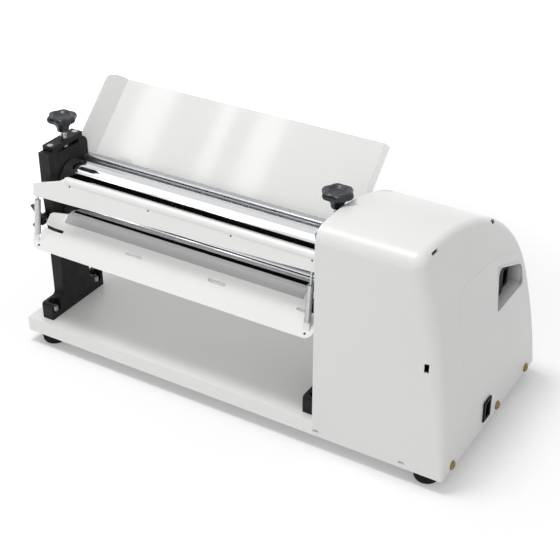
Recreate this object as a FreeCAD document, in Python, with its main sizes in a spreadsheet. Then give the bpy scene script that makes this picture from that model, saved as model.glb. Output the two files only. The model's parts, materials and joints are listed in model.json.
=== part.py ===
# Motor-driven tabletop dough sheeter: two chromed rollers between cast side frames on a sheet-steel base,
# an infeed tray behind, a tipping guard with chute in front, and a motor under a moulded cover on the right.
# Bench measures run from the base's front left corner: x to the right, y to the back, z up from the skirt.
import FreeCAD, Part
import math
import os
import Sketcher

Vector = FreeCAD.Vector

# Driving dimensions in millimetres, with what each one measures
SIZES = (
    ("base_length", 730.0, "base with its cover, left to right"),
    ("base_depth", 340.0, "base, front to back"),
    ("base_height", 24.5, "folded skirt height"),
    ("base_wall", 2.0, "base sheet thickness"),
    ("foot_drop", 22.0, "foot below the skirt"),
    ("foot_radius", 14.0, "foot at its widest"),
    ("foot_taper", 2.0, "foot radius lost towards the floor"),
    ("foot_inset_long", 30.0, "foot centre from the base end"),
    ("foot_inset_deep", 25.0, "foot centre from the base front or back"),
    ("stud_radius", 3.0, "foot stud"),
    ("frame_left", 22.0, "left frame's outer face from the base end"),
    ("frame_thick", 20.0, "frame casting thickness"),
    ("cover_gap", 2.7, "right frame to the motor cover"),
    ("frame_front", 41.0, "front of a frame's head"),
    ("frame_rear", 133.0, "rear of a frame's head"),
    ("head_rise", 55.5, "frame top above the upper roller's axis"),
    ("frame_round", 14.0, "rounded rear top of a frame"),
    ("upright_front", 44.0, "front of a frame's upright"),
    ("upright_rear", 110.0, "rear of a frame's upright"),
    ("waist_height", 172.0, "where the upright starts to widen"),
    ("head_height", 232.0, "where the head has its full width"),
    ("lug_front", 12.0, "front of the front lug"),
    ("lug_rear", 142.0, "rear of the rear lug"),
    ("lug_height", 28.5, "lug height above the base"),
    ("bolt_radius", 4.0, "frame bolt shank"),
    ("bolt_head_radius", 6.5, "frame bolt head"),
    ("bolt_head_height", 8.0, "frame bolt head height"),
    ("bolt_inset", 13.0, "bolt from a lug's end and from the outer face"),
    ("axis_depth", 88.0, "roller axes from the base front"),
    ("lower_axis", 189.0, "lower roller axis height"),
    ("roller_radius", 30.0, "both rollers"),
    ("nip_gap", 0.5, "rollers apart at rest"),
    ("gap_travel", 5.0, "how far the upper roller lifts"),
    ("roller_end_play", 0.3, "roller end to a frame"),
    ("journal_radius", 11.0, "roller journals"),
    ("bush_wall", 4.0, "bronze bush wall"),
    ("run_clear", 0.05, "running clearance on a radius"),
    ("slide_clear", 0.2, "sliding clearance of a flat face"),
    ("block_half_width", 24.0, "half of the bearing slot"),
    ("block_depth", 21.0, "bearing block below its roller's axis"),
    ("block_clear", 1.0, "lifted bearing block to its bridge"),
    ("slot_relief", 2.5, "slot floor under a bearing block"),
    ("bridge_thick", 8.0, "bridge over the bearing slot"),
    ("bridge_front", 52.0, "front of a bridge"),
    ("bridge_rear", 122.0, "rear of a bridge"),
    ("bridge_screw_radius", 2.5, "bridge screw shank"),
    ("spindle_radius", 5.0, "adjusting spindle"),
    ("spindle_inset", 7.5, "spindle from a frame's inner face"),
    ("spindle_show", 8.0, "spindle seen between bridge and knob"),
    ("spindle_stub", 4.0, "radius of the spindle's ends"),
    ("stub_length", 5.5, "spindle end in a bearing block"),
    ("knob_radius", 24.0, "star knob over its lobes"),
    ("knob_hub", 11.5, "star knob hub at its foot"),
    ("knob_hub_length", 21.0, "adjuster knob hub"),
    ("knob_rim", 10.0, "star knob rim thickness"),
    ("knob_scallop", 6.5, "radius of a finger scallop"),
    ("wing_hub", 5.5, "wing nut hub radius"),
    ("wing_hub_length", 9.0, "wing nut hub"),
    ("wing_span", 42.0, "wing nut from tip to tip"),
    ("wing_reach", 20.0, "wing nut from its seat to its tips"),
    ("wing_tip", 3.5, "how far a wing's tip is cut back"),
    ("wing_thick", 4.0, "wing thickness"),
    ("pin_radius", 2.5, "guard stud and pivot pin"),
    ("pivot_depth", 34.0, "guard pivot from the base front"),
    ("pivot_rise", 7.0, "guard pivot above the lower roller's axis"),
    ("ear_radius", 7.0, "frame ear round the pivot"),
    ("ear_thick", 5.0, "frame ear"),
    ("arm_thick", 4.0, "guard arm"),
    ("arm_gap", 0.3, "guard arm to ear"),
    ("arm_radius", 6.0, "guard arm round the pivot"),
    ("rod_radius", 4.8, "guard rod"),
    ("rod_neck", 2.0, "thin ends of a guard rod"),
    ("rod_inset", 3.5, "guard rod from a frame's left face"),
    ("rod_drop", 11.0, "foot of a guard rod below the lower roller's axis"),
    ("rod_rise", 44.5, "shoulder of a guard rod above the lower roller's axis"),
    ("rod_foot_lap", 5.0, "lower neck behind the chute's tab"),
    ("rod_head_lap", 14.0, "upper neck behind the guard bar"),
    ("sheet_thick", 1.5, "guard, chute and tray sheet"),
    ("guard_left", 20.0, "left end of the guard and the chute"),
    ("guard_gap", 6.7, "right end of the guard and the chute to the motor cover"),
    ("guard_front", 22.2, "lower front edge of the guard bar"),
    ("guard_rise", 51.0, "guard bar's lower left corner above the lower roller's axis"),
    ("guard_taper", 15.0, "how much higher its lower right corner is"),
    ("guard_tall", 37.0, "bend of the guard bar above its lower left corner"),
    ("guard_end_tall", 20.0, "guard bar's height at its left end"),
    ("guard_end_run", 55.0, "run of the slope up from that end"),
    ("guard_rear", 37.5, "rear edge of the guard bar"),
    ("guard_lean", 0.14, "backward lean of the guard, run over rise"),
    ("guard_corner", 10.0, "rounded lower corners of the guard bar"),
    ("chute_front", 4.6, "lower front edge of the chute"),
    ("chute_drop", 31.0, "that edge below the lower roller's axis"),
    ("chute_run", 50.0, "chute, front to back"),
    ("chute_rise", 45.0, "chute, bottom to top"),
    ("chute_clear", 4.0, "chute's right step inside a frame's inner face"),
    ("chute_left_side", 18.0, "chute's left end up the slope"),
    ("chute_right_side", 38.0, "chute's right end up the slope"),
    ("fold_low", 10.0, "flap's fold from the chute's left end, at the front edge"),
    ("fold_high", 38.5, "flap's fold from the chute's left end, at the top edge"),
    ("flap_angle", 41.4, "how far the flap is folded up, in degrees"),
    ("flap_start", 13.3, "start of the flap along its fold"),
    ("flap_foot", 21.9, "foot of the flap's edge along the fold"),
    ("flap_foot_wide", 10.0, "flap's width there"),
    ("flap_top", 54.8, "top of the flap's edge along the fold"),
    ("flap_top_wide", 20.8, "flap's width there"),
    ("flap_corner", 4.8, "cut corner of the flap"),
    ("tab_wide", 10.5, "tab that holds a guard rod's foot"),
    ("chute_corner", 14.0, "rounded outer corners of the chute"),
    ("slot_first", 14.0, "first chute slot from the left end"),
    ("slot_last", 7.0, "last chute slot from the right end"),
    ("slot_long", 31.0, "chute slot length"),
    ("slot_wide", 5.0, "chute slot width"),
    ("slot_up", 37.0, "chute slots up the slope"),
    ("scraper_thick", 1.0, "lower scraper strip"),
    ("scraper_inset", 18.0, "scraper strip from a frame's inner face"),
    ("scraper_lap", 15.0, "scraper strip lying on the chute"),
    ("scraper_gap", 1.4, "scraper edge to the roller"),
    ("tray_front", 104.0, "lower edge of the infeed tray"),
    ("tray_lift", 33.0, "that edge above the lower roller's axis"),
    ("tray_run", 141.0, "infeed tray, front to back"),
    ("tray_rise", 133.0, "infeed tray, bottom to top"),
    ("tray_splay", 21.0, "tray wing, outwards"),
    ("tray_wing", 28.0, "tray wing, up from the sheet"),
    ("tray_wing_start", 42.0, "tray wing's foot at the fold, up the slope"),
    ("tray_wing_slant", 26.0, "how much later the wing's outer edge starts"),
    ("tray_corner", 20.0, "rounded tops of the tray wings"),
    ("lip_front", 119.5, "rear guard face"),
    ("lip_rise", 72.0, "lower edge of the rear guard above the lower roller's axis"),
    ("lip_tall", 13.0, "height of the rear guard"),
    ("lip_round", 6.0, "bend of the rear guard"),
    ("cover_long", 204.3, "motor cover, along the rollers"),
    ("cover_wall", 3.0, "cover wall"),
    ("cover_rise", 34.0, "cover crown above the frames"),
    ("cover_shoulder", 22.0, "cover front shoulder radius"),
    ("cover_peak", 40.0, "cover crown from the base front"),
    ("cover_crown", 401.0, "cover crown radius"),
    ("cover_back", 170.0, "cover rear shoulder radius"),
    ("cover_lean", 0.19, "forward lean of the cover's rear wall, run over rise"),
    ("cover_end_curve", 1100.0, "radius of the bulging end face"),
    ("end_round_low", 5.0, "end edge rounding at the skirt"),
    ("end_round_front", 17.0, "end edge rounding at the front shoulder"),
    ("end_round_high", 12.0, "end edge rounding at the crown"),
    ("panel_thick", 3.0, "side panel inside the cover"),
    ("panel_clear", 0.3, "side panel to the cover"),
    ("recess_front", 98.0, "switch recess, front side ahead of its back side"),
    ("recess_lean", 19.0, "how far the recess's front side leans back"),
    ("recess_back_gap", 56.0, "switch recess to the base's back"),
    ("recess_low", 167.0, "switch recess, floor"),
    ("recess_high", 230.0, "switch recess, front top"),
    ("recess_high_back", 200.0, "switch recess, back top"),
    ("recess_depth", 48.0, "recess plate from the base end"),
    ("plate_thick", 4.0, "switch plate"),
    ("plate_clear", 1.0, "switch plate to the recess sides"),
    ("button_radius", 11.0, "push button"),
    ("button_travel", 3.0, "push button travel"),
    ("button_proud", 5.0, "push button above its plate"),
    ("button_height", 20.0, "push buttons above the recess's floor"),
    ("stop_depth", 29.0, "stop button behind the recess's front side"),
    ("start_depth", 66.0, "start button behind the recess's front side"),
    ("inlet_depth", 148.0, "mains inlet from the base front"),
    ("inlet_height", 30.0, "mains inlet centre height"),
    ("inlet_width", 24.0, "mains inlet flange width"),
    ("inlet_tall", 34.0, "mains inlet flange height"),
    ("inlet_lip", 2.5, "mains inlet flange thickness"),
    ("inlet_border", 3.0, "flange round the inlet body"),
    ("inlet_body", 28.0, "mains inlet body length"),
    ("cap_radius", 7.0, "cover screw head"),
    ("cap_height", 4.0, "cover screw head height"),
    ("cap_shank", 2.5, "cover screw shank"),
    ("cap_low", 8.0, "cover screws above the skirt's edge"),
    ("gear_module", 3.75, "gear module"),
    ("roller_teeth", 16, "teeth of a roller gear"),
    ("pinion_teeth", 20, "teeth of the drive pinion"),
    ("gear_gap", 10.3, "gears from the cover's left edge"),
    ("gear_width", 14.0, "gear face width"),
    ("gear_play", 0.4, "added to the drive pinion's distance"),
    ("fit_clear", 0.02, "clearance of a fixed fit on a radius"),
    ("clip_thick", 2.0, "retaining clip"),
    ("clip_wall", 4.0, "retaining clip ring"),
    ("box_gap", 18.0, "gearbox from the gears"),
    ("box_wide", 56.0, "gearbox, along the rollers"),
    ("box_deep", 72.0, "gearbox, front to back"),
    ("box_tall", 76.0, "gearbox height"),
    ("shaft_radius", 8.0, "gearbox output shaft"),
    ("shaft_in_box", 20.0, "output shaft inside the gearbox"),
    ("motor_radius", 42.0, "motor"),
    ("motor_gap", 45.0, "motor's end bell to the cover's back"),
    ("bell_long", 14.0, "motor end bell"),
    ("stand_wall", 4.0, "motor stand sheet"),
    ("capacitor_radius", 19.0, "run capacitor"),
    ("capacitor_tall", 70.0, "run capacitor height"),
    ("capacitor_gap", 70.0, "run capacitor from the base's right end"),
    ("capacitor_deep", 70.0, "run capacitor from the base front"),
)

KNOB_LOBES = 7
CHUTE_SLOTS = 4
PRESSURE_ANGLE = math.radians(20.0)
FLANK_POINTS = 4

# Turns that lay a piece's own z axis along the bench axes
ALONG_X = (Vector(0, 1, 0), 90.0)
AGAINST_X = (Vector(0, 1, 0), -90.0)
ALONG_Y = (Vector(1, 0, 0), -90.0)

doc = FreeCAD.newDocument("dough_sheeter")
sheet = doc.addObject("Spreadsheet::Sheet", "Sizes")
NODES = []


class Size:
    """A length that carries its number and the sheet formula that gives it."""

    def __init__(self, value, formula):
        self.value = float(value)
        self.formula = formula

    def __add__(self, other):
        other = as_size(other)
        return Size(self.value + other.value, f"({self.formula} + {other.formula})")

    def __radd__(self, other):
        return as_size(other) + self

    def __sub__(self, other):
        other = as_size(other)
        return Size(self.value - other.value, f"({self.formula} - {other.formula})")

    def __rsub__(self, other):
        return as_size(other) - self

    def __mul__(self, other):
        other = as_size(other)
        return Size(self.value * other.value, f"({self.formula} * {other.formula})")

    def __rmul__(self, other):
        return as_size(other) * self

    def __truediv__(self, other):
        other = as_size(other)
        return Size(self.value / other.value, f"({self.formula} / {other.formula})")


def as_size(number):
    return number if isinstance(number, Size) else Size(number, repr(float(number)))


def root(size):
    return Size(math.sqrt(size.value), f"sqrt({size.formula})")


def slope_angle(rise, run):
    """The angle in degrees of a slope, kept as a formula."""
    ratio = as_size(rise) / run
    return Size(math.degrees(math.atan(ratio.value)), f"atan({ratio.formula})")


class Dims:
    """The driving dimensions by name."""


d = Dims()
for row, (alias, number, meaning) in enumerate(SIZES, start=1):
    sheet.set(f"A{row}", str(number))
    sheet.setAlias(f"A{row}", alias)
    sheet.set(f"B{row}", meaning)
    setattr(d, alias, Size(number, f"Sizes.{alias}"))
doc.recompute()

# Places that several pieces share
MIDDLE_X = (d.base_length + d.cap_height) / 2
MIDDLE_Y = d.base_depth / 2
BASE_TOP = d.base_height
UPPER_AXIS = d.lower_axis + d.roller_radius * 2 + d.nip_gap
COVER_LEFT = d.base_length - d.cover_long
INNER_LEFT = d.frame_left + d.frame_thick
INNER_RIGHT = COVER_LEFT - d.cover_gap - d.frame_thick
FRAME_LEFTS = (d.frame_left, INNER_RIGHT)
SPINDLES = (INNER_LEFT - d.spindle_inset, INNER_RIGHT + d.spindle_inset)
FRAME_TOP = UPPER_AXIS + d.head_rise
SLOT_FRONT = d.axis_depth - d.block_half_width
SLOT_REAR = d.axis_depth + d.block_half_width
BLOCK_LOW = UPPER_AXIS - d.block_depth
BLOCK_TOP = FRAME_TOP - d.gap_travel - d.block_clear
BRIDGE_TOP = FRAME_TOP + d.bridge_thick
KNOB_LOW = BRIDGE_TOP + d.spindle_show
BUSH_RADIUS = d.journal_radius + d.bush_wall
GUARD_RIGHT = COVER_LEFT - d.guard_gap
GUARD_LONG = GUARD_RIGHT - d.guard_left
GUARD_LOW = d.lower_axis + d.guard_rise
LEAN_LONG = root(d.guard_lean * d.guard_lean + 1.0)
ROD_FOOT = d.lower_axis - d.rod_drop
ROD_SHOULDER = d.lower_axis + d.rod_rise
PIVOT_HEIGHT = d.lower_axis + d.pivot_rise
CHUTE_LOW = d.lower_axis - d.chute_drop
CHUTE_LONG = root(d.chute_run * d.chute_run + d.chute_rise * d.chute_rise)
CHUTE_COS = d.chute_run / CHUTE_LONG
CHUTE_SIN = d.chute_rise / CHUTE_LONG
TRAY_LOW = d.lower_axis + d.tray_lift
LIP_LOW = d.lower_axis + d.lip_rise
LIP_TOP = LIP_LOW + d.lip_tall
TRAY_LONG = root(d.tray_run * d.tray_run + d.tray_rise * d.tray_rise)
COVER_HEIGHT = FRAME_TOP + d.cover_rise
COVER_INSIDE_END = d.base_length - d.cover_wall
WALL_SLANT = root(d.cover_lean * d.cover_lean + 1.0)
RECESS_BACK = d.base_depth - d.recess_back_gap
RECESS_FRONT = RECESS_BACK - d.recess_front
BUTTON_HEIGHT = d.recess_low + d.button_height
STOP_DEPTH = RECESS_FRONT + d.stop_depth
START_DEPTH = RECESS_FRONT + d.start_depth
RECESS_FLOOR = d.base_length - d.recess_depth
GEAR_LEFT = COVER_LEFT + d.gear_gap
GEAR_RIGHT = GEAR_LEFT + d.gear_width
BOX_LEFT = GEAR_RIGHT + d.box_gap
PINION_DISTANCE = d.gear_module * (d.roller_teeth + d.pinion_teeth) / 2 + d.gear_play
ONE_TOOTH = 2 * math.pi / d.roller_teeth.value
PINION_Y = d.axis_depth + PINION_DISTANCE * math.cos(ONE_TOOTH)
PINION_Z = d.lower_axis - PINION_DISTANCE * math.sin(ONE_TOOTH)


def bind(obj, prop, size):
    obj.setExpression(prop, as_size(size).formula)


def place(obj, x, y, z, turn=None):
    """Puts a piece at bench measures; a turn is an axis and an angle in degrees."""
    axis, angle = turn if turn else (Vector(0, 0, 1), 0.0)
    degrees = angle.value if isinstance(angle, Size) else angle
    obj.Placement = FreeCAD.Placement(Vector(), FreeCAD.Rotation(axis, degrees))
    if isinstance(angle, Size):
        bind(obj, "Placement.Rotation.Angle", angle)
    bind(obj, "Placement.Base.x", as_size(x) - MIDDLE_X)
    bind(obj, "Placement.Base.y", as_size(y) - MIDDLE_Y)
    bind(obj, "Placement.Base.z", as_size(z) + d.foot_drop)
    return obj


def node(label, obj):
    obj.Label = label
    NODES.append(obj)
    return obj


def block(name, x, y, z, long, deep, tall):
    box = doc.addObject("Part::Box", name)
    for prop, size in (("Length", long), ("Width", deep), ("Height", tall)):
        bind(box, prop, size)
    return place(box, x, y, z)


def rod(name, radius, length, x, y, z, turn=None):
    cylinder = doc.addObject("Part::Cylinder", name)
    bind(cylinder, "Radius", radius)
    bind(cylinder, "Height", length)
    return place(cylinder, x, y, z, turn)


def cut(name, base, tools):
    for number, tool in enumerate(tools):
        result = doc.addObject("Part::Cut", f"{name}_cut{number}")
        result.Base = base
        result.Tool = tool
        base = result
    return base


def fuse(name, pieces):
    result = doc.addObject("Part::MultiFuse", f"{name}_fused")
    result.Shapes = pieces
    return result


def common(name, base, tool):
    result = doc.addObject("Part::Common", name)
    result.Base = base
    result.Tool = tool
    return result


def group(name, pieces):
    result = doc.addObject("Part::Compound", f"{name}_group")
    result.Links = pieces
    return result


def ring(name, outer, inner, length, x, y, z, turn):
    outside = rod(f"{name}_outside", outer, length, x, y, z, turn)
    inside = rod(f"{name}_inside", inner, length, x, y, z, turn)
    return cut(name, outside, [inside])


def new_sketch(body, plane_role, name):
    sketch = body.newObject("Sketcher::SketchObject", name)
    plane = next(p for p in body.Origin.OriginFeatures if p.Role == plane_role)
    sketch.AttachmentSupport = [(plane, "")]
    sketch.MapMode = "FlatFace"
    return sketch


def pin_point(sketch, geometry, end, u, v):
    """Fixes one end of a line or arc at two measures from the sketch's origin."""
    for kind, size, zero_axis in (("DistanceX", as_size(u), -2), ("DistanceY", as_size(v), -1)):
        if size.formula == "0.0":
            sketch.addConstraint(Sketcher.Constraint("PointOnObject", geometry, end, zero_axis))
            continue
        number = sketch.addConstraint(Sketcher.Constraint(kind, -1, 1, geometry, end, size.value))
        name = f"{kind}_{geometry}_{number}"
        sketch.renameConstraint(number, name)
        bind(sketch, f"Constraints.{name}", size)


def add_outline(sketch, corners):
    """Draws a closed outline anticlockwise; a third value at a corner makes the side that ends there an
    outward arc of that radius, and a fourth turns the arc inward."""
    flat = [Vector(as_size(c[0]).value, as_size(c[1]).value, 0) for c in corners]
    sides = []
    for number, corner in enumerate(corners):
        start, end = flat[number - 1], flat[number]
        if len(corner) == 2:
            sides.append((sketch.addGeometry(Part.LineSegment(start, end)), 1, 2))
            continue
        inward = len(corner) == 4
        radius = as_size(corner[2]).value
        chord = end - start
        sag = radius - math.sqrt(max(radius ** 2 - (chord.Length / 2) ** 2, 0.0))
        bulge = -sag if inward else sag
        middle = (start + end) / 2 + Vector(chord.y, -chord.x, 0) / chord.Length * bulge
        if inward:
            sides.append((sketch.addGeometry(Part.Arc(end, middle, start)), 2, 1))
        else:
            sides.append((sketch.addGeometry(Part.Arc(start, middle, end)), 1, 2))
    for number, corner in enumerate(corners):
        side, _, last = sides[number]
        following, first, _ = sides[(number + 1) % len(sides)]
        sketch.addConstraint(Sketcher.Constraint("Coincident", side, last, following, first))
        pin_point(sketch, side, last, corner[0], corner[1])
        if len(corner) > 2:
            index = sketch.addConstraint(Sketcher.Constraint("Radius", side, as_size(corner[2]).value))
            sketch.renameConstraint(index, f"Radius_{side}")
            bind(sketch, f"Constraints.Radius_{side}", corner[2])


def padded(name, plane_role, outlines, length, reverse=False):
    """A body made by pushing closed outlines along their plane's normal."""
    body = doc.addObject("PartDesign::Body", name)
    sketch = new_sketch(body, plane_role, f"{name}_outline")
    for corners in outlines:
        add_outline(sketch, corners)
    pad = body.newObject("PartDesign::Pad", f"{name}_pad")
    pad.Profile = sketch
    bind(pad, "Length", length)
    pad.Reversed = reverse
    return body


def pocketed(body, name, plane_role, outlines, depth):
    """Cuts closed outlines into a body, from the plane along its normal."""
    doc.recompute()
    before = body.Shape.Volume
    sketch = new_sketch(body, plane_role, f"{name}_outline")
    for corners in outlines:
        add_outline(sketch, corners)
    pocket = body.newObject("PartDesign::Pocket", name)
    pocket.Profile = sketch
    bind(pocket, "Length", depth)
    pocket.Reversed = True
    doc.recompute()
    if body.Shape.Volume >= before:
        raise RuntimeError(f"{name} cut nothing")
    return pocket, sketch


def turned(name, corners, x, y, z, turn=None):
    """A lathe piece: each corner is a radius and a distance along the piece's own axis."""
    body = doc.addObject("PartDesign::Body", name)
    sketch = new_sketch(body, "XZ_Plane", f"{name}_outline")
    add_outline(sketch, corners)
    revolution = body.newObject("PartDesign::Revolution", f"{name}_turn")
    revolution.Profile = sketch
    revolution.ReferenceAxis = (sketch, ["V_Axis"])
    revolution.Angle = 360.0
    return place(body, x, y, z, turn)


def rounded(body, name, radius, wanted):
    """Rounds the edges of a body whose middle point, in the body's own measures, passes a test."""
    doc.recompute()
    base = body.Tip
    names = []
    for number, edge in enumerate(base.Shape.Edges, start=1):
        if wanted(edge):
            names.append(f"Edge{number}")
    if not names:
        raise RuntimeError(f"{name} found no edge")
    fillet = body.newObject("PartDesign::Fillet", name)
    fillet.Base = (base, names)
    bind(fillet, "Radius", radius)
    return fillet


def near(point, target, reach=0.01):
    return (point - target).Length < reach


def edge_middle(edge):
    return edge.CenterOfMass


# Base, feet and frames


def make_base_tray():
    wall = d.base_wall
    skin = d.cover_wall + d.panel_clear

    def plan(inset):
        left_end = COVER_LEFT - inset
        front = skin + inset
        back = d.base_depth - d.cover_lean * d.base_height - skin * WALL_SLANT - inset
        end = COVER_INSIDE_END - d.panel_clear * 2 - inset
        soft = d.end_round_low - inset
        return [
            (as_size(inset), as_size(inset)),
            (left_end, as_size(inset)),
            (left_end, front),
            (end - soft, front),
            (end, front + soft, soft),
            (end, back - soft),
            (end - soft, back, soft),
            (left_end, back),
            (left_end, d.base_depth - inset),
            (as_size(inset), d.base_depth - inset),
        ]

    body = padded("tray_blank", "XY_Plane", [plan(0.0)], d.base_height)
    pocketed(body, "tray_hollow", "XY_Plane", [plan(wall)], d.base_height - wall)
    place(body, 0.0, 0.0, 0.0)
    bolt_holes = [
        rod("base_bolt_hole", d.bolt_radius + d.slide_clear, d.base_height, x, y, 0.0)
        for x, y in bolt_places()
    ]
    inlet_gap = d.inlet_width + d.inlet_border * 2
    notch = block(
        "base_inlet_notch",
        d.base_length - d.inlet_body - d.inlet_border,
        d.inlet_depth - inlet_gap / 2,
        -1.0,
        d.inlet_body + d.inlet_border,
        inlet_gap,
        d.base_height + 2.0,
    )
    screw_holes = [
        rod("base_screw_hole", d.cap_shank + d.fit_clear, d.cover_wall + wall * 3,
            COVER_INSIDE_END - wall * 2, y, d.cap_low, ALONG_X)
        for y in cover_screw_depths()
    ]
    node("base_tray", cut("base_tray", body, bolt_holes + [notch] + screw_holes))


def foot_places():
    ends = (d.foot_inset_long, COVER_INSIDE_END - d.foot_inset_long)
    sides = (d.foot_inset_deep, d.base_depth - d.foot_inset_deep)
    return [(x, y) for x in ends for y in sides]


# The foot's nut sits this far up the foot, in a recess with a little room round it
NUT_SEAT_SHARE = 0.6
NUT_ROOM = 1.0


def make_feet():
    tall = d.foot_drop + d.base_height - d.base_wall
    bore = d.stud_radius + d.slide_clear
    nut_seat = d.foot_drop * NUT_SEAT_SHARE
    nut_room = d.stud_radius * 2 + NUT_ROOM
    foot_line = [
        (nut_room, 0.0),
        (d.foot_radius - d.foot_taper, 0.0),
        (d.foot_radius, d.foot_drop - d.foot_taper),
        (d.foot_radius, tall),
        (bore, tall),
        (bore, nut_seat),
        (nut_room, nut_seat),
    ]
    stud_line = [
        (0.0, nut_seat - d.stud_radius * 2),
        (d.stud_radius * 2, nut_seat - d.stud_radius * 2),
        (d.stud_radius * 2, nut_seat),
        (d.stud_radius, nut_seat),
        (d.stud_radius, tall),
        (0.0, tall),
    ]
    low = as_size(0.0) - d.foot_drop
    feet = [turned("foot", foot_line, x, y, low) for x, y in foot_places()]
    studs = [turned("stud", stud_line, x, y, low) for x, y in foot_places()]
    node("rubber_feet", group("rubber_feet", feet))
    node("foot_studs", group("foot_studs", studs))


def bolt_places():
    depths = (d.lug_front + d.bolt_inset, d.lug_rear - d.bolt_inset)
    return [(left + d.bolt_inset, y) for left in FRAME_LEFTS for y in depths]


# A frame bolt's head sits in its lug at this share of the lug's height
BOLT_SEAT_SHARE = 0.4
BOLT_SEAT = d.base_height + d.lug_height * BOLT_SEAT_SHARE


def make_frame(label, left):
    lug_top = BASE_TOP + d.lug_height
    slot_floor = BLOCK_LOW - d.slot_relief
    side = [
        (d.lug_front, BASE_TOP),
        (d.lug_rear, BASE_TOP),
        (d.lug_rear, lug_top),
        (d.upright_rear, lug_top),
        (d.upright_rear, d.waist_height),
        (d.frame_rear, d.head_height),
        (d.frame_rear, FRAME_TOP - d.frame_round),
        (d.frame_rear - d.frame_round, FRAME_TOP, d.frame_round),
        (SLOT_REAR, FRAME_TOP),
        (SLOT_REAR, slot_floor),
        (SLOT_FRONT, slot_floor),
        (SLOT_FRONT, FRAME_TOP),
        (d.frame_front, FRAME_TOP),
        (d.frame_front, d.head_height),
        (d.upright_front, d.waist_height),
        (d.upright_front, lug_top),
        (d.lug_front, lug_top),
    ]
    casting = padded(f"{label}_casting", "YZ_Plane", [side], d.frame_thick)
    middle = d.frame_thick.value / 2

    def at_corner(places):
        spots = [Vector(middle, y.value, z.value) for y, z in places]
        return lambda edge: any(near(edge_middle(edge), spot) for spot in spots)

    rounded(casting, f"{label}_lug_rounds", d.frame_round / 2,
            at_corner([(d.upright_front, lug_top), (d.upright_rear, lug_top)]))
    rounded(casting, f"{label}_head_rounds", d.frame_round * 2,
            at_corner([(d.upright_rear, d.waist_height), (d.frame_rear, d.head_height)]))
    rounded(casting, f"{label}_lug_tops", d.frame_round / 3,
            at_corner([(d.lug_front, lug_top), (d.lug_rear, lug_top)]))
    place(casting, left, 0.0, 0.0)
    ear_arm = block(f"{label}_ear_arm", left, d.pivot_depth, PIVOT_HEIGHT - d.ear_radius, d.ear_thick,
                    d.upright_front + 1.0 - d.pivot_depth, d.ear_radius * 2)
    ear_eye = rod(f"{label}_ear_eye", d.ear_radius, d.ear_thick, left, d.pivot_depth, PIVOT_HEIGHT, ALONG_X)
    tools = [
        rod(f"{label}_bore", BUSH_RADIUS + d.fit_clear, d.frame_thick, left, d.axis_depth, d.lower_axis,
            ALONG_X),
        rod(f"{label}_pivot", d.pin_radius + d.run_clear, d.ear_thick, left, d.pivot_depth, PIVOT_HEIGHT,
            ALONG_X),
    ]
    room = d.bolt_head_radius + 1.5
    for y in (d.lug_front + d.bolt_inset, d.lug_rear - d.bolt_inset):
        axis = left + d.bolt_inset
        above = d.lug_height
        tools.append(rod(f"{label}_bolt", d.bolt_radius + d.slide_clear, d.lug_height, axis, y, BASE_TOP))
        tools.append(rod(f"{label}_notch", room, above, axis, y, BOLT_SEAT))
        tools.append(block(f"{label}_notch_mouth", axis, y - room, BOLT_SEAT, d.frame_thick, room * 2, above))
    for y in bridge_screw_depths():
        tools.append(rod(f"{label}_bridge_thread", d.bridge_screw_radius + d.fit_clear,
                         d.bridge_screw_radius * 8, left + d.frame_thick / 2, y,
                         FRAME_TOP - d.bridge_screw_radius * 8))
    solid = fuse(label, [casting, ear_arm, ear_eye])
    node(label, cut(label, solid, tools))


def make_frame_bolts():
    tail = d.base_height - d.base_wall
    shank = BOLT_SEAT - tail
    top = shank + d.bolt_head_height
    socket = d.bolt_radius - 1.0
    line = [
        (0.0, 0.0),
        (d.bolt_radius, 0.0),
        (d.bolt_radius, shank),
        (d.bolt_head_radius, shank),
        (d.bolt_head_radius, top),
        (socket, top),
        (socket, top - d.bolt_radius),
        (0.0, top - d.bolt_radius),
    ]
    bolts = [turned("frame_bolt", line, x, y, tail) for x, y in bolt_places()]
    node("frame_bolts", group("frame_bolts", bolts))


# Rollers, bearings and gears


def make_roller(label, height):
    left = d.frame_left + d.roller_end_play
    barrel_left = INNER_LEFT + d.roller_end_play
    barrel_right = INNER_RIGHT - d.roller_end_play
    right = GEAR_RIGHT + d.clip_thick + d.clip_wall
    bevel = d.roller_end_play * 4
    radius = d.roller_radius
    line = [
        (0.0, 0.0),
        (d.journal_radius, 0.0),
        (d.journal_radius, barrel_left - left),
        (radius - bevel, barrel_left - left),
        (radius, barrel_left - left + bevel),
        (radius, barrel_right - left - bevel),
        (radius - bevel, barrel_right - left),
        (d.journal_radius, barrel_right - left),
        (d.journal_radius, right - left),
        (0.0, right - left),
    ]
    node(label, turned(f"{label}_turned", line, left, d.axis_depth, height, ALONG_X))


def make_bushes(label, height):
    bushes = [
        ring(label, BUSH_RADIUS, d.journal_radius + d.run_clear, d.frame_thick, left, d.axis_depth, height,
             ALONG_X)
        for left in FRAME_LEFTS
    ]
    node(label, group(label, bushes))


def make_block(label, left, spindle):
    body = block(f"{label}_blank", left, SLOT_FRONT + d.slide_clear, BLOCK_LOW, d.frame_thick,
                 (d.block_half_width - d.slide_clear) * 2, BLOCK_TOP - BLOCK_LOW)
    bore = rod(f"{label}_bore", BUSH_RADIUS + d.fit_clear, d.frame_thick, left, d.axis_depth, UPPER_AXIS,
               ALONG_X)
    socket = rod(f"{label}_socket", d.spindle_stub + d.run_clear, d.stub_length + d.run_clear,
                 spindle, d.axis_depth, BLOCK_TOP - d.stub_length - d.run_clear)
    node(label, cut(label, body, [bore, socket]))


def bridge_screw_depths():
    front = (d.bridge_front + SLOT_FRONT) / 2
    rear = (d.bridge_rear + SLOT_REAR) / 2
    return front, rear


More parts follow.
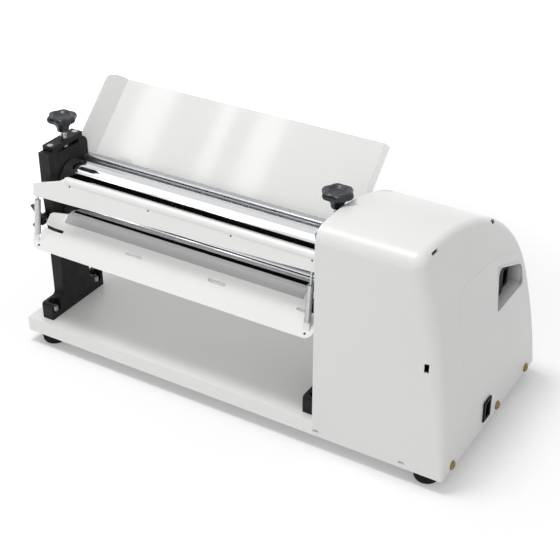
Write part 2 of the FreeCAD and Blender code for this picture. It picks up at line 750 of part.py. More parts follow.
def make_bridge(label, left, spindle):
    bar = block(f"{label}_bar", left, d.bridge_front, FRAME_TOP, d.frame_thick,
                d.bridge_rear - d.bridge_front, d.bridge_thick)
    middle = left + d.frame_thick / 2
    tools = [rod(f"{label}_nut", d.spindle_radius + d.run_clear, d.bridge_thick, spindle, d.axis_depth,
                 FRAME_TOP)]
    for y in bridge_screw_depths():
        tools.append(rod(f"{label}_hole", d.bridge_screw_radius + d.slide_clear, d.bridge_thick, middle, y,
                         FRAME_TOP))
        tools.append(rod(f"{label}_counterbore", d.bridge_screw_radius * 2, d.bridge_thick / 2, middle, y,
                         FRAME_TOP + d.bridge_thick / 2))
    node(label, cut(label, bar, tools))


def make_bridge_screws():
    shank = d.bridge_screw_radius * 6
    head = d.bridge_thick / 2
    under = d.bridge_thick - head
    reach = shank + under
    line = [
        (0.0, 0.0),
        (d.bridge_screw_radius, 0.0),
        (d.bridge_screw_radius, reach),
        (d.bridge_screw_radius * 2 - d.slide_clear, reach),
        (d.bridge_screw_radius * 2 - d.slide_clear, reach + head),
        (0.0, reach + head),
    ]
    screws = [
        turned("bridge_screw", line, left + d.frame_thick / 2, y, FRAME_TOP - shank)
        for left in FRAME_LEFTS
        for y in bridge_screw_depths()
    ]
    node("bridge_screws", group("bridge_screws", screws))


# The spindle's end fills most of the knob's bore, as shares of the hub's length
SPINDLE_END_SHARE = 0.7
KNOB_BORE_SHARE = 0.72
# The knob's neck is this much thinner than its foot, and its middle rises by this much
KNOB_NECK_IN = 1.5
KNOB_TOP_RISE = 1.0
# The middle of a scallop lies this share of its radius outside the knob
SCALLOP_OUT_SHARE = 0.35


def make_spindle(label, x):
    low = BLOCK_TOP - d.stub_length
    knob_end = d.knob_hub_length * SPINDLE_END_SHARE
    line = [
        (0.0, 0.0),
        (d.spindle_stub, 0.0),
        (d.spindle_stub, d.stub_length + d.run_clear),
        (d.spindle_radius, d.stub_length + d.run_clear),
        (d.spindle_radius, KNOB_LOW - low),
        (d.spindle_stub, KNOB_LOW - low),
        (d.spindle_stub, KNOB_LOW - low + knob_end),
        (0.0, KNOB_LOW - low + knob_end),
    ]
    node(label, turned(f"{label}_turned", line, x, d.axis_depth, low))


def make_star_knob(label, hub_length, bore_depth, x, y, z, turn=None):
    bevel = d.knob_rim / 5
    neck = d.knob_hub - KNOB_NECK_IN
    bore = d.spindle_stub + d.fit_clear
    line = [
        (bore, 0.0),
        (d.knob_hub, 0.0),
        (neck, hub_length),
        (d.knob_radius - bevel, hub_length),
        (d.knob_radius, hub_length + bevel),
        (d.knob_radius, hub_length + d.knob_rim - bevel),
        (d.knob_radius - bevel, hub_length + d.knob_rim),
        (neck, hub_length + d.knob_rim + KNOB_TOP_RISE),
        (0.0, hub_length + d.knob_rim + KNOB_TOP_RISE),
        (0.0, bore_depth),
        (bore, bore_depth),
    ]
    knob = turned(f"{label}_turned", line, x, y, z, turn)
    doc.recompute()
    before = knob.Shape.Volume
    sketch = new_sketch(knob, "XY_Plane", f"{label}_scallop_outline")
    reach = d.knob_radius + d.knob_scallop * SCALLOP_OUT_SHARE
    round_cut = Part.Circle(Vector(reach.value, 0, 0), Vector(0, 0, 1), d.knob_scallop.value)
    circle = sketch.addGeometry(round_cut)
    pin_point(sketch, circle, 3, reach, 0.0)
    index = sketch.addConstraint(Sketcher.Constraint("Radius", circle, d.knob_scallop.value))
    sketch.renameConstraint(index, "scallop")
    bind(sketch, "Constraints.scallop", d.knob_scallop)
    scallop = knob.newObject("PartDesign::Pocket", f"{label}_scallop")
    scallop.Profile = sketch
    bind(scallop, "Length", hub_length + d.knob_rim * 2)
    scallop.Reversed = True
    doc.recompute()
    lobes = knob.newObject("PartDesign::PolarPattern", f"{label}_lobes")
    lobes.Originals = [scallop]
    lobes.Axis = (sketch, ["N_Axis"])
    lobes.Angle = 360.0
    lobes.Occurrences = KNOB_LOBES
    knob.Tip = lobes
    doc.recompute()
    if knob.Shape.Volume >= before:
        raise RuntimeError(f"{label} has no scallops")
    node(label, knob)


# A tooth's root lies this many modules inside the pitch circle
ROOT_MODULES = 1.25


def tooth_half_angle(radius, base_radius, teeth):
    def involute(pressure):
        return math.tan(pressure) - pressure

    pressure = math.acos(min(base_radius / radius, 1.0))
    return math.pi / (2 * teeth) + involute(PRESSURE_ANGLE) - involute(pressure)


def gear_face(module, teeth):
    """An involute gear's outline, with a tooth on its own x axis."""
    pitch_radius = module * teeth / 2
    base_radius = pitch_radius * math.cos(PRESSURE_ANGLE)
    tip_radius = pitch_radius + module
    root_radius = pitch_radius - ROOT_MODULES * module
    flank_low = max(base_radius, root_radius)

    def polar(radius, angle):
        return Vector(radius * math.cos(angle), radius * math.sin(angle), 0)

    radii = [flank_low + (tip_radius - flank_low) * k / (FLANK_POINTS - 1) for k in range(FLANK_POINTS)]
    step = 2 * math.pi / teeth
    edges = []
    for tooth in range(teeth):
        centre = tooth * step
        halves = [tooth_half_angle(r, base_radius, teeth) for r in radii]
        rising = [polar(r, centre - half) for r, half in zip(radii, halves)]
        falling = [polar(r, centre + half) for r, half in zip(radii, halves)][::-1]
        root_in = polar(root_radius, centre - halves[0])
        root_out = polar(root_radius, centre + halves[0])
        root_next = polar(root_radius, centre + step - halves[0])
        for line in (rising, falling):
            curve = Part.BSplineCurve()
            curve.interpolate(line)
            if line is rising:
                edges.append(Part.LineSegment(root_in, rising[0]).toShape())
                edges.append(curve.toShape())
                edges.append(Part.Arc(rising[-1], polar(tip_radius, centre), falling[0]).toShape())
            else:
                edges.append(curve.toShape())
                edges.append(Part.LineSegment(falling[-1], root_out).toShape())
        edges.append(Part.Arc(root_out, polar(root_radius, centre + step / 2), root_next).toShape())
    return Part.Face(Part.Wire(edges))


def make_gear(label, teeth, bore, y, z, phase):
    """A spur gear on a shaft along x; the phase in degrees turns its teeth into mesh."""
    blank = gear_face(d.gear_module.value, int(teeth.value)).extrude(Vector(0, 0, d.gear_width.value))
    hole = Part.makeCylinder(bore.value, d.gear_width.value)
    gear = doc.addObject("Part::Feature", label)
    gear.Shape = blank.cut(hole)
    axis, angle = ALONG_X
    spin = FreeCAD.Rotation(Vector(0, 0, 1), phase)
    place(gear, GEAR_LEFT, y, z)
    gear.Placement = FreeCAD.Placement(Vector(), FreeCAD.Rotation(axis, angle).multiply(spin))
    node(label, gear)


def make_clip(label, radius, y, z):
    clip = ring(label, radius + d.clip_wall, radius + d.fit_clear, d.clip_thick, GEAR_RIGHT, y, z, ALONG_X)
    node(label, clip)


def make_drive():
    box_front = PINION_Y - d.box_deep / 2
    box_low = PINION_Z - d.box_tall / 2
    box = block("gearbox_blank", BOX_LEFT, box_front, box_low, d.box_wide, d.box_deep, d.box_tall)
    box_bore = rod("gearbox_bore", d.shaft_radius + d.run_clear, d.shaft_in_box, BOX_LEFT, PINION_Y, PINION_Z,
                   ALONG_X)
    node("gearbox", cut("gearbox", box, [box_bore]))
    shaft_left = GEAR_LEFT - d.clip_thick
    shaft_long = BOX_LEFT + d.shaft_in_box - d.slide_clear - shaft_left
    node("output_shaft", rod("output_shaft_rod", d.shaft_radius, shaft_long, shaft_left, PINION_Y, PINION_Z,
                             ALONG_X))
    stand = block("stand_blank", BOX_LEFT, box_front, BASE_TOP, d.box_wide, d.box_deep, box_low - BASE_TOP)
    stand_inside = block("stand_inside", BOX_LEFT + d.stand_wall, box_front, BASE_TOP,
                         d.box_wide - d.stand_wall * 2, d.box_deep, box_low - BASE_TOP - d.stand_wall)
    node("motor_stand", cut("motor_stand", stand, [stand_inside]))
    motor_x = BOX_LEFT + d.box_wide / 2
    motor_front = box_front + d.box_deep
    motor_rear = d.base_depth - d.cover_wall - d.motor_gap - d.bell_long
    motor_long = motor_rear - motor_front
    tube = rod("motor_tube", d.motor_radius, motor_long, motor_x, motor_front, PINION_Z, ALONG_Y)
    node("motor_body", tube)
    bell = [
        (0.0, 0.0),
        (d.motor_radius, 0.0),
        (d.motor_radius, d.bell_long / 2),
        (d.motor_radius - d.bell_long / 2, d.bell_long, d.bell_long / 2),
        (0.0, d.bell_long),
    ]
    node("motor_end_bell", turned("motor_bell", bell, motor_x, motor_rear, PINION_Z, ALONG_Y))
    node("run_capacitor", rod("capacitor_can", d.capacitor_radius, d.capacitor_tall,
                              d.base_length - d.capacitor_gap, d.capacitor_deep, BASE_TOP))


# Guard, chute and tray


def guard_face(height):
    """Where the leaning guard's front face is at a height."""
    return d.guard_front + (height - GUARD_LOW) * d.guard_lean


def rod_axis_y(height):
    """Where a guard rod's axis is at a height: its thin ends lie against the back of the leaning sheet."""
    return guard_face(height) + d.sheet_thick + d.rod_neck * LEAN_LONG + d.fit_clear


def make_guard_bar():
    """A sheet bent back along its top; seen from the front it tapers to the right and has a low left end."""
    bend = GUARD_LOW + d.guard_tall
    inside = bend - d.sheet_thick
    crease = guard_face(bend)
    section = [
        (d.guard_front, GUARD_LOW),
        (d.guard_front + d.sheet_thick, GUARD_LOW),
        (crease + d.sheet_thick, inside),
        (d.guard_rear, inside + d.sheet_thick),
        (d.guard_rear, bend + d.sheet_thick),
        (crease, bend),
    ]
    folded = place(padded("guard_bar_sheet", "YZ_Plane", [section], GUARD_LONG), d.guard_left, 0.0, 0.0)
    over = d.guard_tall + d.sheet_thick * 2
    soft = d.guard_corner
    front = [
        (0.0, 0.0),
        (GUARD_LONG - soft, d.guard_taper),
        (GUARD_LONG, d.guard_taper + soft, soft),
        (GUARD_LONG, over),
        (d.guard_end_run, over),
        (d.guard_end_run, d.guard_tall),
        (0.0, d.guard_end_tall),
    ]
    blank = padded("guard_bar_front", "XZ_Plane", [front], d.guard_rear + d.sheet_thick, reverse=True)
    place(blank, d.guard_left, 0.0, GUARD_LOW)
    node("guard_bar", common("guard_bar_cut", folded, blank))


def guard_rod_places():
    return [left + d.rod_inset for left in FRAME_LEFTS]


def make_guard_rods():
    """Turned rods that hold the bar over the chute, with a thin neck at each end."""
    lean_angle = slope_angle(as_size(0.0) - d.guard_lean, 1.0)
    foot = ROD_FOOT - d.rod_foot_lap
    lower_neck = d.rod_foot_lap * LEAN_LONG
    shoulder = (ROD_SHOULDER - foot) * LEAN_LONG
    end = (GUARD_LOW + d.rod_head_lap - foot) * LEAN_LONG
    line = [
        (0.0, 0.0),
        (d.rod_neck, 0.0),
        (d.rod_neck, lower_neck),
        (d.rod_radius, lower_neck),
        (d.rod_radius, shoulder),
        (d.rod_neck, shoulder),
        (d.rod_neck, end),
        (0.0, end),
    ]
    rods = [
        turned("guard_rod", line, x, rod_axis_y(foot), foot, (Vector(1, 0, 0), lean_angle))
        for x in guard_rod_places()
    ]
    node("guard_rods", group("guard_rods", rods))


def make_guard_arms():
    top = PIVOT_HEIGHT + d.arm_radius
    low = PIVOT_HEIGHT - d.arm_radius

    def rod_back(height):
        return rod_axis_y(height) + d.rod_radius * LEAN_LONG + d.fit_clear

    arms = []
    for left in FRAME_LEFTS:
        line = [(rod_back(low), low), (d.pivot_depth, low), (d.pivot_depth, top), (rod_back(top), top)]
        tongue = padded("guard_arm_tongue", "YZ_Plane", [line], d.arm_thick)
        arm_left = left + d.ear_thick + d.arm_gap
        place(tongue, arm_left, 0.0, 0.0)
        eye = rod("guard_arm_eye", d.arm_radius, d.arm_thick, arm_left, d.pivot_depth, PIVOT_HEIGHT, ALONG_X)
        hole = rod("guard_arm_hole", d.pin_radius + d.run_clear, d.arm_thick, arm_left, d.pivot_depth,
                   PIVOT_HEIGHT, ALONG_X)
        arms.append(cut("guard_arm", fuse("guard_arm", [tongue, eye]), [hole]))
    node("guard_arms", group("guard_arms", arms))


def chute_slope():
    return Vector(1, 0, 0), slope_angle(d.chute_rise, d.chute_run)


# A slot's corner radius, just short of half its width
SLOT_ROUND_SHARE = 0.48


def chute_slot():
    soft = d.slot_wide * SLOT_ROUND_SHARE
    low = d.slot_up - d.slot_wide / 2
    high = d.slot_up + d.slot_wide / 2
    start = d.slot_first
    end = d.slot_first + d.slot_long
    return [
        (end - soft, low),
        (end, low + soft, soft),
        (end, high - soft),
        (end - soft, high, soft),
        (start + soft, high),
        (start, high - soft, soft),
        (start, low + soft),
        (start + soft, low, soft),
    ]


def make_chute_flap():
    """The chute's left flap, a plate folded up along a slanting line."""
    across = (d.fold_high - d.fold_low).value
    up = CHUTE_LONG.value
    fold_long = math.hypot(across, up)
    along_fold = Vector(across / fold_long, up / fold_long, 0)
    angle = math.radians(d.flap_angle.value)
    flat_out = Vector(-along_fold.y, along_fold.x, 0)
    out = flat_out * math.cos(angle) + Vector(0, 0, math.sin(angle))
    corner = d.flap_corner.value
    edge = [
        (d.flap_start.value, 0.0),
        (fold_long, 0.0),
        (d.flap_top.value + corner, d.flap_top_wide.value - corner / 2),
        (d.flap_top.value, d.flap_top_wide.value),
        (d.flap_foot.value, d.flap_foot_wide.value),
    ]
    spots = [Vector(d.fold_low.value, 0, 0) + along_fold * a + out * w for a, w in edge]
    plate = Part.Face(Part.makePolygon(spots + spots[:1]))
    flap = doc.addObject("Part::Feature", "chute_flap")
    flap.Shape = plate.extrude(along_fold.cross(out) * d.sheet_thick.value)
    place(flap, d.guard_left, d.chute_front, CHUTE_LOW, chute_slope())
    slot = padded("flap_slot", "XY_Plane", [chute_slot()], d.flap_top_wide)
    place(slot, d.guard_left, d.chute_front, CHUTE_LOW, chute_slope())
    return cut("chute_flap", flap, [slot])


def make_chute_tabs():
    """Upright tabs on the chute that the guard rods' feet are held by."""
    slope = d.chute_rise / d.chute_run
    start = guard_face(as_size(0.0)) - d.chute_front
    foot = (CHUTE_LOW + slope * start + d.sheet_thick) / (1.0 - slope * d.guard_lean)
    line = [
        (guard_face(foot), foot),
        (guard_face(foot) + d.sheet_thick, foot),
        (guard_face(ROD_FOOT) + d.sheet_thick, ROD_FOOT),
        (guard_face(ROD_FOOT), ROD_FOOT),
    ]
    tabs = []
    for x in guard_rod_places():
        tab = padded("chute_tab", "YZ_Plane", [line], d.tab_wide)
        tabs.append(place(tab, x - d.tab_wide / 2, 0.0, 0.0))
    return tabs


def make_chute():
    long = GUARD_LONG
    soft = d.chute_corner
    step = long - (GUARD_RIGHT - INNER_RIGHT + d.chute_clear)
    fold = d.fold_low + (d.fold_high - d.fold_low) * d.chute_left_side / CHUTE_LONG
    outline = [
        (long - soft, 0.0),
        (long, soft, soft),
        (long, d.chute_right_side),
        (step, d.chute_right_side),
        (step, CHUTE_LONG),
        (d.fold_high, CHUTE_LONG),
        (fold, d.chute_left_side),
        (0.0, d.chute_left_side),
        (0.0, soft),
        (soft, 0.0, soft),
    ]
    body = padded("chute_sheet", "XY_Plane", [outline], d.sheet_thick)
    first, sketch = pocketed(body, "chute_slot", "XY_Plane", [chute_slot()], d.sheet_thick)
    pattern = body.newObject("PartDesign::LinearPattern", "chute_slots")
    pattern.Originals = [first]
    pattern.Direction = (sketch, ["H_Axis"])
    bind(pattern, "Length", long - d.slot_first - d.slot_long - d.slot_last)
    pattern.Occurrences = CHUTE_SLOTS
    body.Tip = pattern
    place(body, d.guard_left, d.chute_front, CHUTE_LOW, chute_slope())
    node("chute", fuse("chute", [body, make_chute_flap()] + make_chute_tabs()))


def make_scraper():
    """A strip on the chute's top edge that bends level towards the lower roller."""

    def above(up, off):
        y = d.chute_front + CHUTE_COS * up - CHUTE_SIN * off
        z = CHUTE_LOW + CHUTE_SIN * up + CHUTE_COS * off
        return y, z

    under = d.sheet_thick + d.fit_clear
    over = under + d.scraper_thick
    foot = CHUTE_LONG - d.scraper_lap
    knee_y, knee_z = above(CHUTE_LONG, over)
    inner_y, inner_z = above(CHUTE_LONG, under)
    tip_z = knee_z - d.lower_axis
    reach = d.roller_radius + d.scraper_gap
    tip_y = d.axis_depth - root(reach * reach - tip_z * tip_z)
    line = [above(foot, under), (inner_y, inner_z), (tip_y, knee_z - d.scraper_thick), (tip_y, knee_z),
            (knee_y, knee_z), above(foot, over)]
    side = INNER_LEFT + d.scraper_inset
    strip = padded("scraper_strip", "YZ_Plane", [line], INNER_RIGHT - d.scraper_inset - side)
    node("lower_scraper", place(strip, side, 0.0, 0.0))


# The wing nut's neck as a share of its hub, and where its wings are widest as a share of their reach
WING_NECK_SHARE = 0.7
WING_FLARE_SHARE = 0.65


def make_guard_clamp():
    """A wing nut and its stud on the left, and a plain pivot pin on the right."""
    seat = d.frame_left - d.slide_clear
    hub = rod("clamp_hub", d.wing_hub, d.wing_hub_length, seat, d.pivot_depth, PIVOT_HEIGHT, AGAINST_X)
    middle = d.wing_span / 2
    neck = d.wing_hub * WING_NECK_SHARE
    flare = d.wing_reach * WING_FLARE_SHARE
    wing_line = [
        (middle - d.wing_hub, 0.0),
        (middle + d.wing_hub, 0.0),
        (d.wing_span, flare),
        (d.wing_span - d.wing_tip, d.wing_reach),
        (middle + neck, d.wing_hub_length),
        (middle - neck, d.wing_hub_length),
        (d.wing_tip, d.wing_reach),
        (0.0, flare),
    ]
    wings = padded("clamp_wings", "XZ_Plane", [wing_line], d.wing_thick, reverse=True)
    place(wings, seat, d.pivot_depth - d.wing_thick / 2, PIVOT_HEIGHT - middle, AGAINST_X)
    bore = rod("clamp_bore", d.pin_radius + d.fit_clear, d.wing_hub_length, seat, d.pivot_depth, PIVOT_HEIGHT,
               AGAINST_X)
    node("clamp_knob", cut("clamp_knob", fuse("clamp_knob", [hub, wings]), [bore]))
    through = d.ear_thick + d.arm_gap + d.arm_thick
    stud_left = seat - d.wing_hub_length
    node("clamp_stud", rod("clamp_stud_rod", d.pin_radius, d.frame_left + through - stud_left, stud_left,
                           d.pivot_depth, PIVOT_HEIGHT, ALONG_X))
    head_left = INNER_RIGHT - d.slide_clear - d.clip_thick
    pin = rod("pivot_pin_shank", d.pin_radius, INNER_RIGHT + through - head_left, head_left, d.pivot_depth,
              PIVOT_HEIGHT, ALONG_X)
    head = rod("pivot_pin_head", d.arm_radius, d.clip_thick, head_left, d.pivot_depth, PIVOT_HEIGHT, ALONG_X)
    node("pivot_pin", fuse("pivot_pin", [pin, head]))


# What a wing's lean adds to the sheet's thickness at the wing's edge and inside the fold
WING_EDGE_SHARE = 1.25
FOLD_INSIDE_SHARE = 0.55


def make_infeed_tray():
    left = INNER_LEFT + d.slide_clear - d.tray_splay
    right = INNER_RIGHT - d.slide_clear + d.tray_splay
    long = right - left
    splay = d.tray_splay
    wing = d.tray_wing
    thick = d.sheet_thick
    lean = thick * WING_EDGE_SHARE
    inner = thick * FOLD_INSIDE_SHARE
    section = [
        (0.0, wing),
        (splay, 0.0),
        (long - splay, 0.0),
        (long, wing),
        (long - lean, wing),
        (long - splay - inner, thick),
        (splay + inner, thick),
        (lean, wing),
    ]
    body = padded("tray_sheet", "XZ_Plane", [section], TRAY_LONG, reverse=True)
    start = d.tray_wing_start
    late = start + d.tray_wing_slant
    shed = [
        [(0.0, 0.0), (splay, 0.0), (splay, start), (0.0, late)],
        [(long - splay, 0.0), (long, 0.0), (long, late), (long - splay, start)],
    ]
    pocketed(body, "tray_wing_feet", "XY_Plane", shed, wing + thick)
    soft = d.tray_corner
    top = TRAY_LONG
    corners = [
        [(0.0, top - soft), (soft, top, soft, "inward"), (0.0, top)],
        [(long, top), (long - soft, top), (long, top - soft, soft, "inward")],
    ]
    pocketed(body, "tray_wing_tops", "XY_Plane", corners, wing + thick)
    slope = slope_angle(d.tray_rise, d.tray_run)
    drop_y = d.tray_rise / TRAY_LONG * thick
    drop_z = d.tray_run / TRAY_LONG * thick
    node("infeed_tray", place(body, left, d.tray_front + drop_y, TRAY_LOW - drop_z, (Vector(1, 0, 0), slope)))


def make_rear_guard():
    thick = d.sheet_thick
    bend = d.lip_round
    line = [
        (d.lip_front, LIP_LOW),
        (d.lip_front + thick, LIP_LOW),
        (d.lip_front + thick, LIP_TOP - bend),
        (d.lip_front + bend, LIP_TOP - thick),
        (d.frame_rear, LIP_TOP - thick),
        (d.frame_rear, LIP_TOP),
        (d.lip_front + bend, LIP_TOP),
        (d.lip_front, LIP_TOP - bend, bend),
    ]
    lip = padded("rear_guard_sheet", "YZ_Plane", [line], INNER_RIGHT - INNER_LEFT)
    node("rear_guard", place(lip, INNER_LEFT, 0.0, 0.0))


# Motor cover and what is fixed to it


def cover_section(inset, low):
    """The cover's side outline, set in by a wall: upright front, tight shoulder, long crown, round back and a
    rear wall that leans in. Every arc runs smoothly into the next side."""
    shoulder = d.cover_shoulder - inset
    crown = d.cover_crown - inset
    back = d.cover_back - inset
    crown_z = COVER_HEIGHT - d.cover_crown
    reach = d.cover_crown - d.cover_shoulder
    ahead = d.cover_peak - d.cover_shoulder
    rise = root(reach * reach - ahead * ahead)
    spread = d.cover_crown - d.cover_back
    room = d.base_depth - d.cover_back * WALL_SLANT - d.cover_peak - d.cover_lean * crown_z
    turn = room / (spread * WALL_SLANT)
    rest = root(1.0 - turn * turn)
    sine = (turn - rest * d.cover_lean) / WALL_SLANT
    cosine = (rest + turn * d.cover_lean) / WALL_SLANT
    back_y = d.cover_peak + spread * sine
    back_z = crown_z + spread * cosine
    return [
        (as_size(inset), low),
        (d.base_depth - d.cover_lean * low - WALL_SLANT * inset, low),
        (back_y + back / WALL_SLANT, back_z + back * d.cover_lean / WALL_SLANT),
        (d.cover_peak + crown * sine, crown_z + crown * cosine, back),
        (d.cover_peak - ahead * crown / reach, crown_z + rise * crown / reach, crown),
        (as_size(inset), crown_z + rise, shoulder),
    ]


def cover_form(name, inset, left):
    """The cover's bulk, set in by a wall, with its bulging end and rounded end edges."""
    bulk = padded(f"{name}_bulk", "YZ_Plane", [cover_section(inset, 0.0)], d.base_length - inset - left)
    place(bulk, left, 0.0, 0.0)
    curve = d.cover_end_curve - inset
    end = rod(f"{name}_end", curve, d.base_depth, d.base_length - d.cover_end_curve, 0.0, 0.0, ALONG_Y)
    form = common(f"{name}_form", bulk, end)
    doc.recompute()
    soft = doc.addObject("Part::Fillet", f"{name}_soft")
    soft.Base = form
    soft.Edges = end_edges(form.Shape, inset)
    return soft


def end_edges(shape, inset):
    """The edges round the end face, with roundings from the skirt over the front shoulder to the crown."""
    wall = as_size(inset).value
    low = d.end_round_low.value - min(wall, d.end_round_low.value - 1.0)
    shoulder = d.end_round_front.value - wall
    high = d.end_round_high.value - wall
    axis_x = (d.base_length - d.cover_end_curve - MIDDLE_X).value
    floor = d.foot_drop.value
    front = wall - MIDDLE_Y.value
    curve = d.cover_end_curve.value - wall

    def on_end(vertex):
        return abs(math.hypot(vertex.X - axis_x, vertex.Z - floor) - curve) < 0.01

    def radius_at(vertex):
        if vertex.Z < floor + 1.0:
            return low
        return shoulder if vertex.Y < front + 1.0 else high

    def progress(y, z):
        return -math.atan2(z - floor, y)

    found = []
    for number, edge in enumerate(shape.Edges, start=1):
        ends = [edge.firstVertex(True), edge.lastVertex(True)]
        if all(on_end(v) for v in ends) and max(v.Z for v in ends) > floor + 1.0:
            found.append((number, edge, ends))
    # The chain of edges runs the way its first edge runs, and the two radii follow the chain
    lead = found[0][1]
    start = lead.valueAt(lead.FirstParameter)
    finish = lead.valueAt(lead.LastParameter)
    backwards = progress(start.y, start.z) > progress(finish.y, finish.z)
    chosen = []
    for number, _, ends in found:
        ordered = sorted(ends, key=lambda v: progress(v.Y, v.Z), reverse=backwards)
        chosen.append((number, radius_at(ordered[0]), radius_at(ordered[1])))
    return chosen


def recess_outline(inset):
    return [
        (RECESS_FRONT + inset, d.recess_low + inset),
        (RECESS_BACK - inset, d.recess_low + inset),
        (RECESS_BACK - inset, d.recess_high_back - inset),
        (RECESS_FRONT + d.recess_lean + inset, d.recess_high - inset),
    ]


# Where the three cover screws stand: behind the front feet, at a share of the depth, ahead of the rear feet
SCREW_BEHIND_FOOT = 8.0
SCREW_MIDDLE_SHARE = 0.565
SCREW_AHEAD_OF_FOOT = 12.0


def cover_screw_depths():
    front = d.foot_inset_deep + SCREW_BEHIND_FOOT
    back = d.base_depth - d.foot_inset_deep - SCREW_AHEAD_OF_FOOT
    return front, d.base_depth * SCREW_MIDDLE_SHARE, back


def make_cover():
    outer = cover_form("cover_outer", 0.0, COVER_LEFT)
    inner = cover_form("cover_inner", d.cover_wall, COVER_LEFT)
    shell = cut("cover_shell", outer, [inner])
    wall = as_size(0.0) - d.cover_wall
    opening = padded("pocket_opening", "YZ_Plane", [recess_outline(wall - d.fit_clear)], d.recess_depth)
    place(opening, RECESS_FLOOR, 0.0, 0.0)
    body_wide = d.inlet_width - d.inlet_border * 2 + d.slide_clear * 2
    body_tall = d.inlet_tall - d.inlet_border * 2 + d.slide_clear * 2
    inlet_hole = block("inlet_hole", d.base_length - d.cover_wall * 3, d.inlet_depth - body_wide / 2,
                       d.inlet_height - body_tall / 2, d.cover_wall * 4, body_wide, body_tall)
    screw_holes = [
        rod("cover_screw_hole", d.cap_shank + d.fit_clear, d.cover_wall * 3,
            d.base_length - d.cover_wall * 2, y, d.cap_low, ALONG_X)
        for y in cover_screw_depths()
    ]
    node("motor_cover", cut("motor_cover", shell, [opening, inlet_hole] + screw_holes))
    tub = padded("pocket_tub", "YZ_Plane", [recess_outline(wall)], d.recess_depth + d.cover_wall)
    place(tub, RECESS_FLOOR - d.cover_wall, 0.0, 0.0)
    trimmed = common("pocket_trimmed", tub, outer)
    hollow = padded("pocket_hollow", "YZ_Plane", [recess_outline(0.0)], d.recess_depth + 1.0)
    place(hollow, RECESS_FLOOR, 0.0, 0.0)
    stem_holes = [
        rod("button_stem_hole", d.spindle_stub + d.run_clear, d.cover_wall, RECESS_FLOOR - d.cover_wall, y,
            BUTTON_HEIGHT, ALONG_X)
        for y in (STOP_DEPTH, START_DEPTH)
    ]
    node("switch_pocket", cut("switch_pocket", trimmed, [hollow] + stem_holes))


def make_side_panel():
    inset = d.cover_wall + d.panel_clear
    panel = padded("panel_sheet", "YZ_Plane", [cover_section(inset, BASE_TOP)], d.panel_thick)
    place(panel, COVER_LEFT + d.panel_clear, 0.0, 0.0)
    room = BUSH_RADIUS + d.gap_travel
    holes = [
        rod("panel_lower_hole", room, d.panel_thick * 3, COVER_LEFT - d.panel_thick, d.axis_depth,
            d.lower_axis, ALONG_X),
        rod("panel_upper_hole", room, d.panel_thick * 3, COVER_LEFT - d.panel_thick, d.axis_depth,
            UPPER_AXIS + d.gap_travel / 2, ALONG_X),
    ]
    node("side_panel", cut("side_panel", panel, holes))


# A screw head's straight rim as a share of its height, and its flat top as a share of its radius
CAP_RIM_SHARE = 0.4
CAP_FLAT_SHARE = 0.5


def make_cover_screws():
    tail = d.cover_wall + d.base_wall * 2
    line = [
        (0.0, 0.0),
        (d.cap_shank, 0.0),
        (d.cap_shank, tail),
        (d.cap_radius, tail),
        (d.cap_radius, tail + d.cap_height * CAP_RIM_SHARE),
        (d.cap_radius * CAP_FLAT_SHARE, tail + d.cap_height, d.cap_radius),
        (0.0, tail + d.cap_height),
    ]
    screws = [turned("cover_screw", line, d.base_length - tail, y, d.cap_low, ALONG_X)
              for y in cover_screw_depths()]
    node("cover_screws", group("cover_screws", screws))


# The rounded edge of a push button
BUTTON_ROUND = 1.5


def make_switch():
    plate = padded("plate_blank", "YZ_Plane", [recess_outline(d.plate_clear)], d.plate_thick)
    place(plate, RECESS_FLOOR, 0.0, 0.0)
    holes = [
        rod("plate_hole", d.button_radius + d.slide_clear, d.plate_thick, RECESS_FLOOR, y, BUTTON_HEIGHT,
            ALONG_X)
        for y in (STOP_DEPTH, START_DEPTH)
    ]
    node("switch_plate", cut("switch_plate", plate, holes))
    stem = d.cover_wall * 3
    rest = d.button_travel + d.panel_clear
    top = stem + d.plate_thick + d.button_proud
    line = [
        (0.0, 0.0),
        (d.spindle_stub, 0.0),
        (d.spindle_stub, stem + rest),
        (d.button_radius, stem + rest),
        (d.button_radius, top - BUTTON_ROUND),
        (d.button_radius - BUTTON_ROUND, top, BUTTON_ROUND),
        (0.0, top),
    ]
    for label, y in (("stop_button", STOP_DEPTH), ("start_button", START_DEPTH)):
        node(label, turned(f"{label}_turned", line, RECESS_FLOOR - stem, y, BUTTON_HEIGHT, ALONG_X))


# The inlet's socket depth and its pins, as shares of the inlet's body and of its border
SOCKET_DEPTH_SHARE = 0.6
PIN_LONG_SHARE = 0.5
PIN_THICK_SHARE = 0.67
PIN_TALL_SHARE = 1.33
PIN_ASIDE_SHARE = 0.8


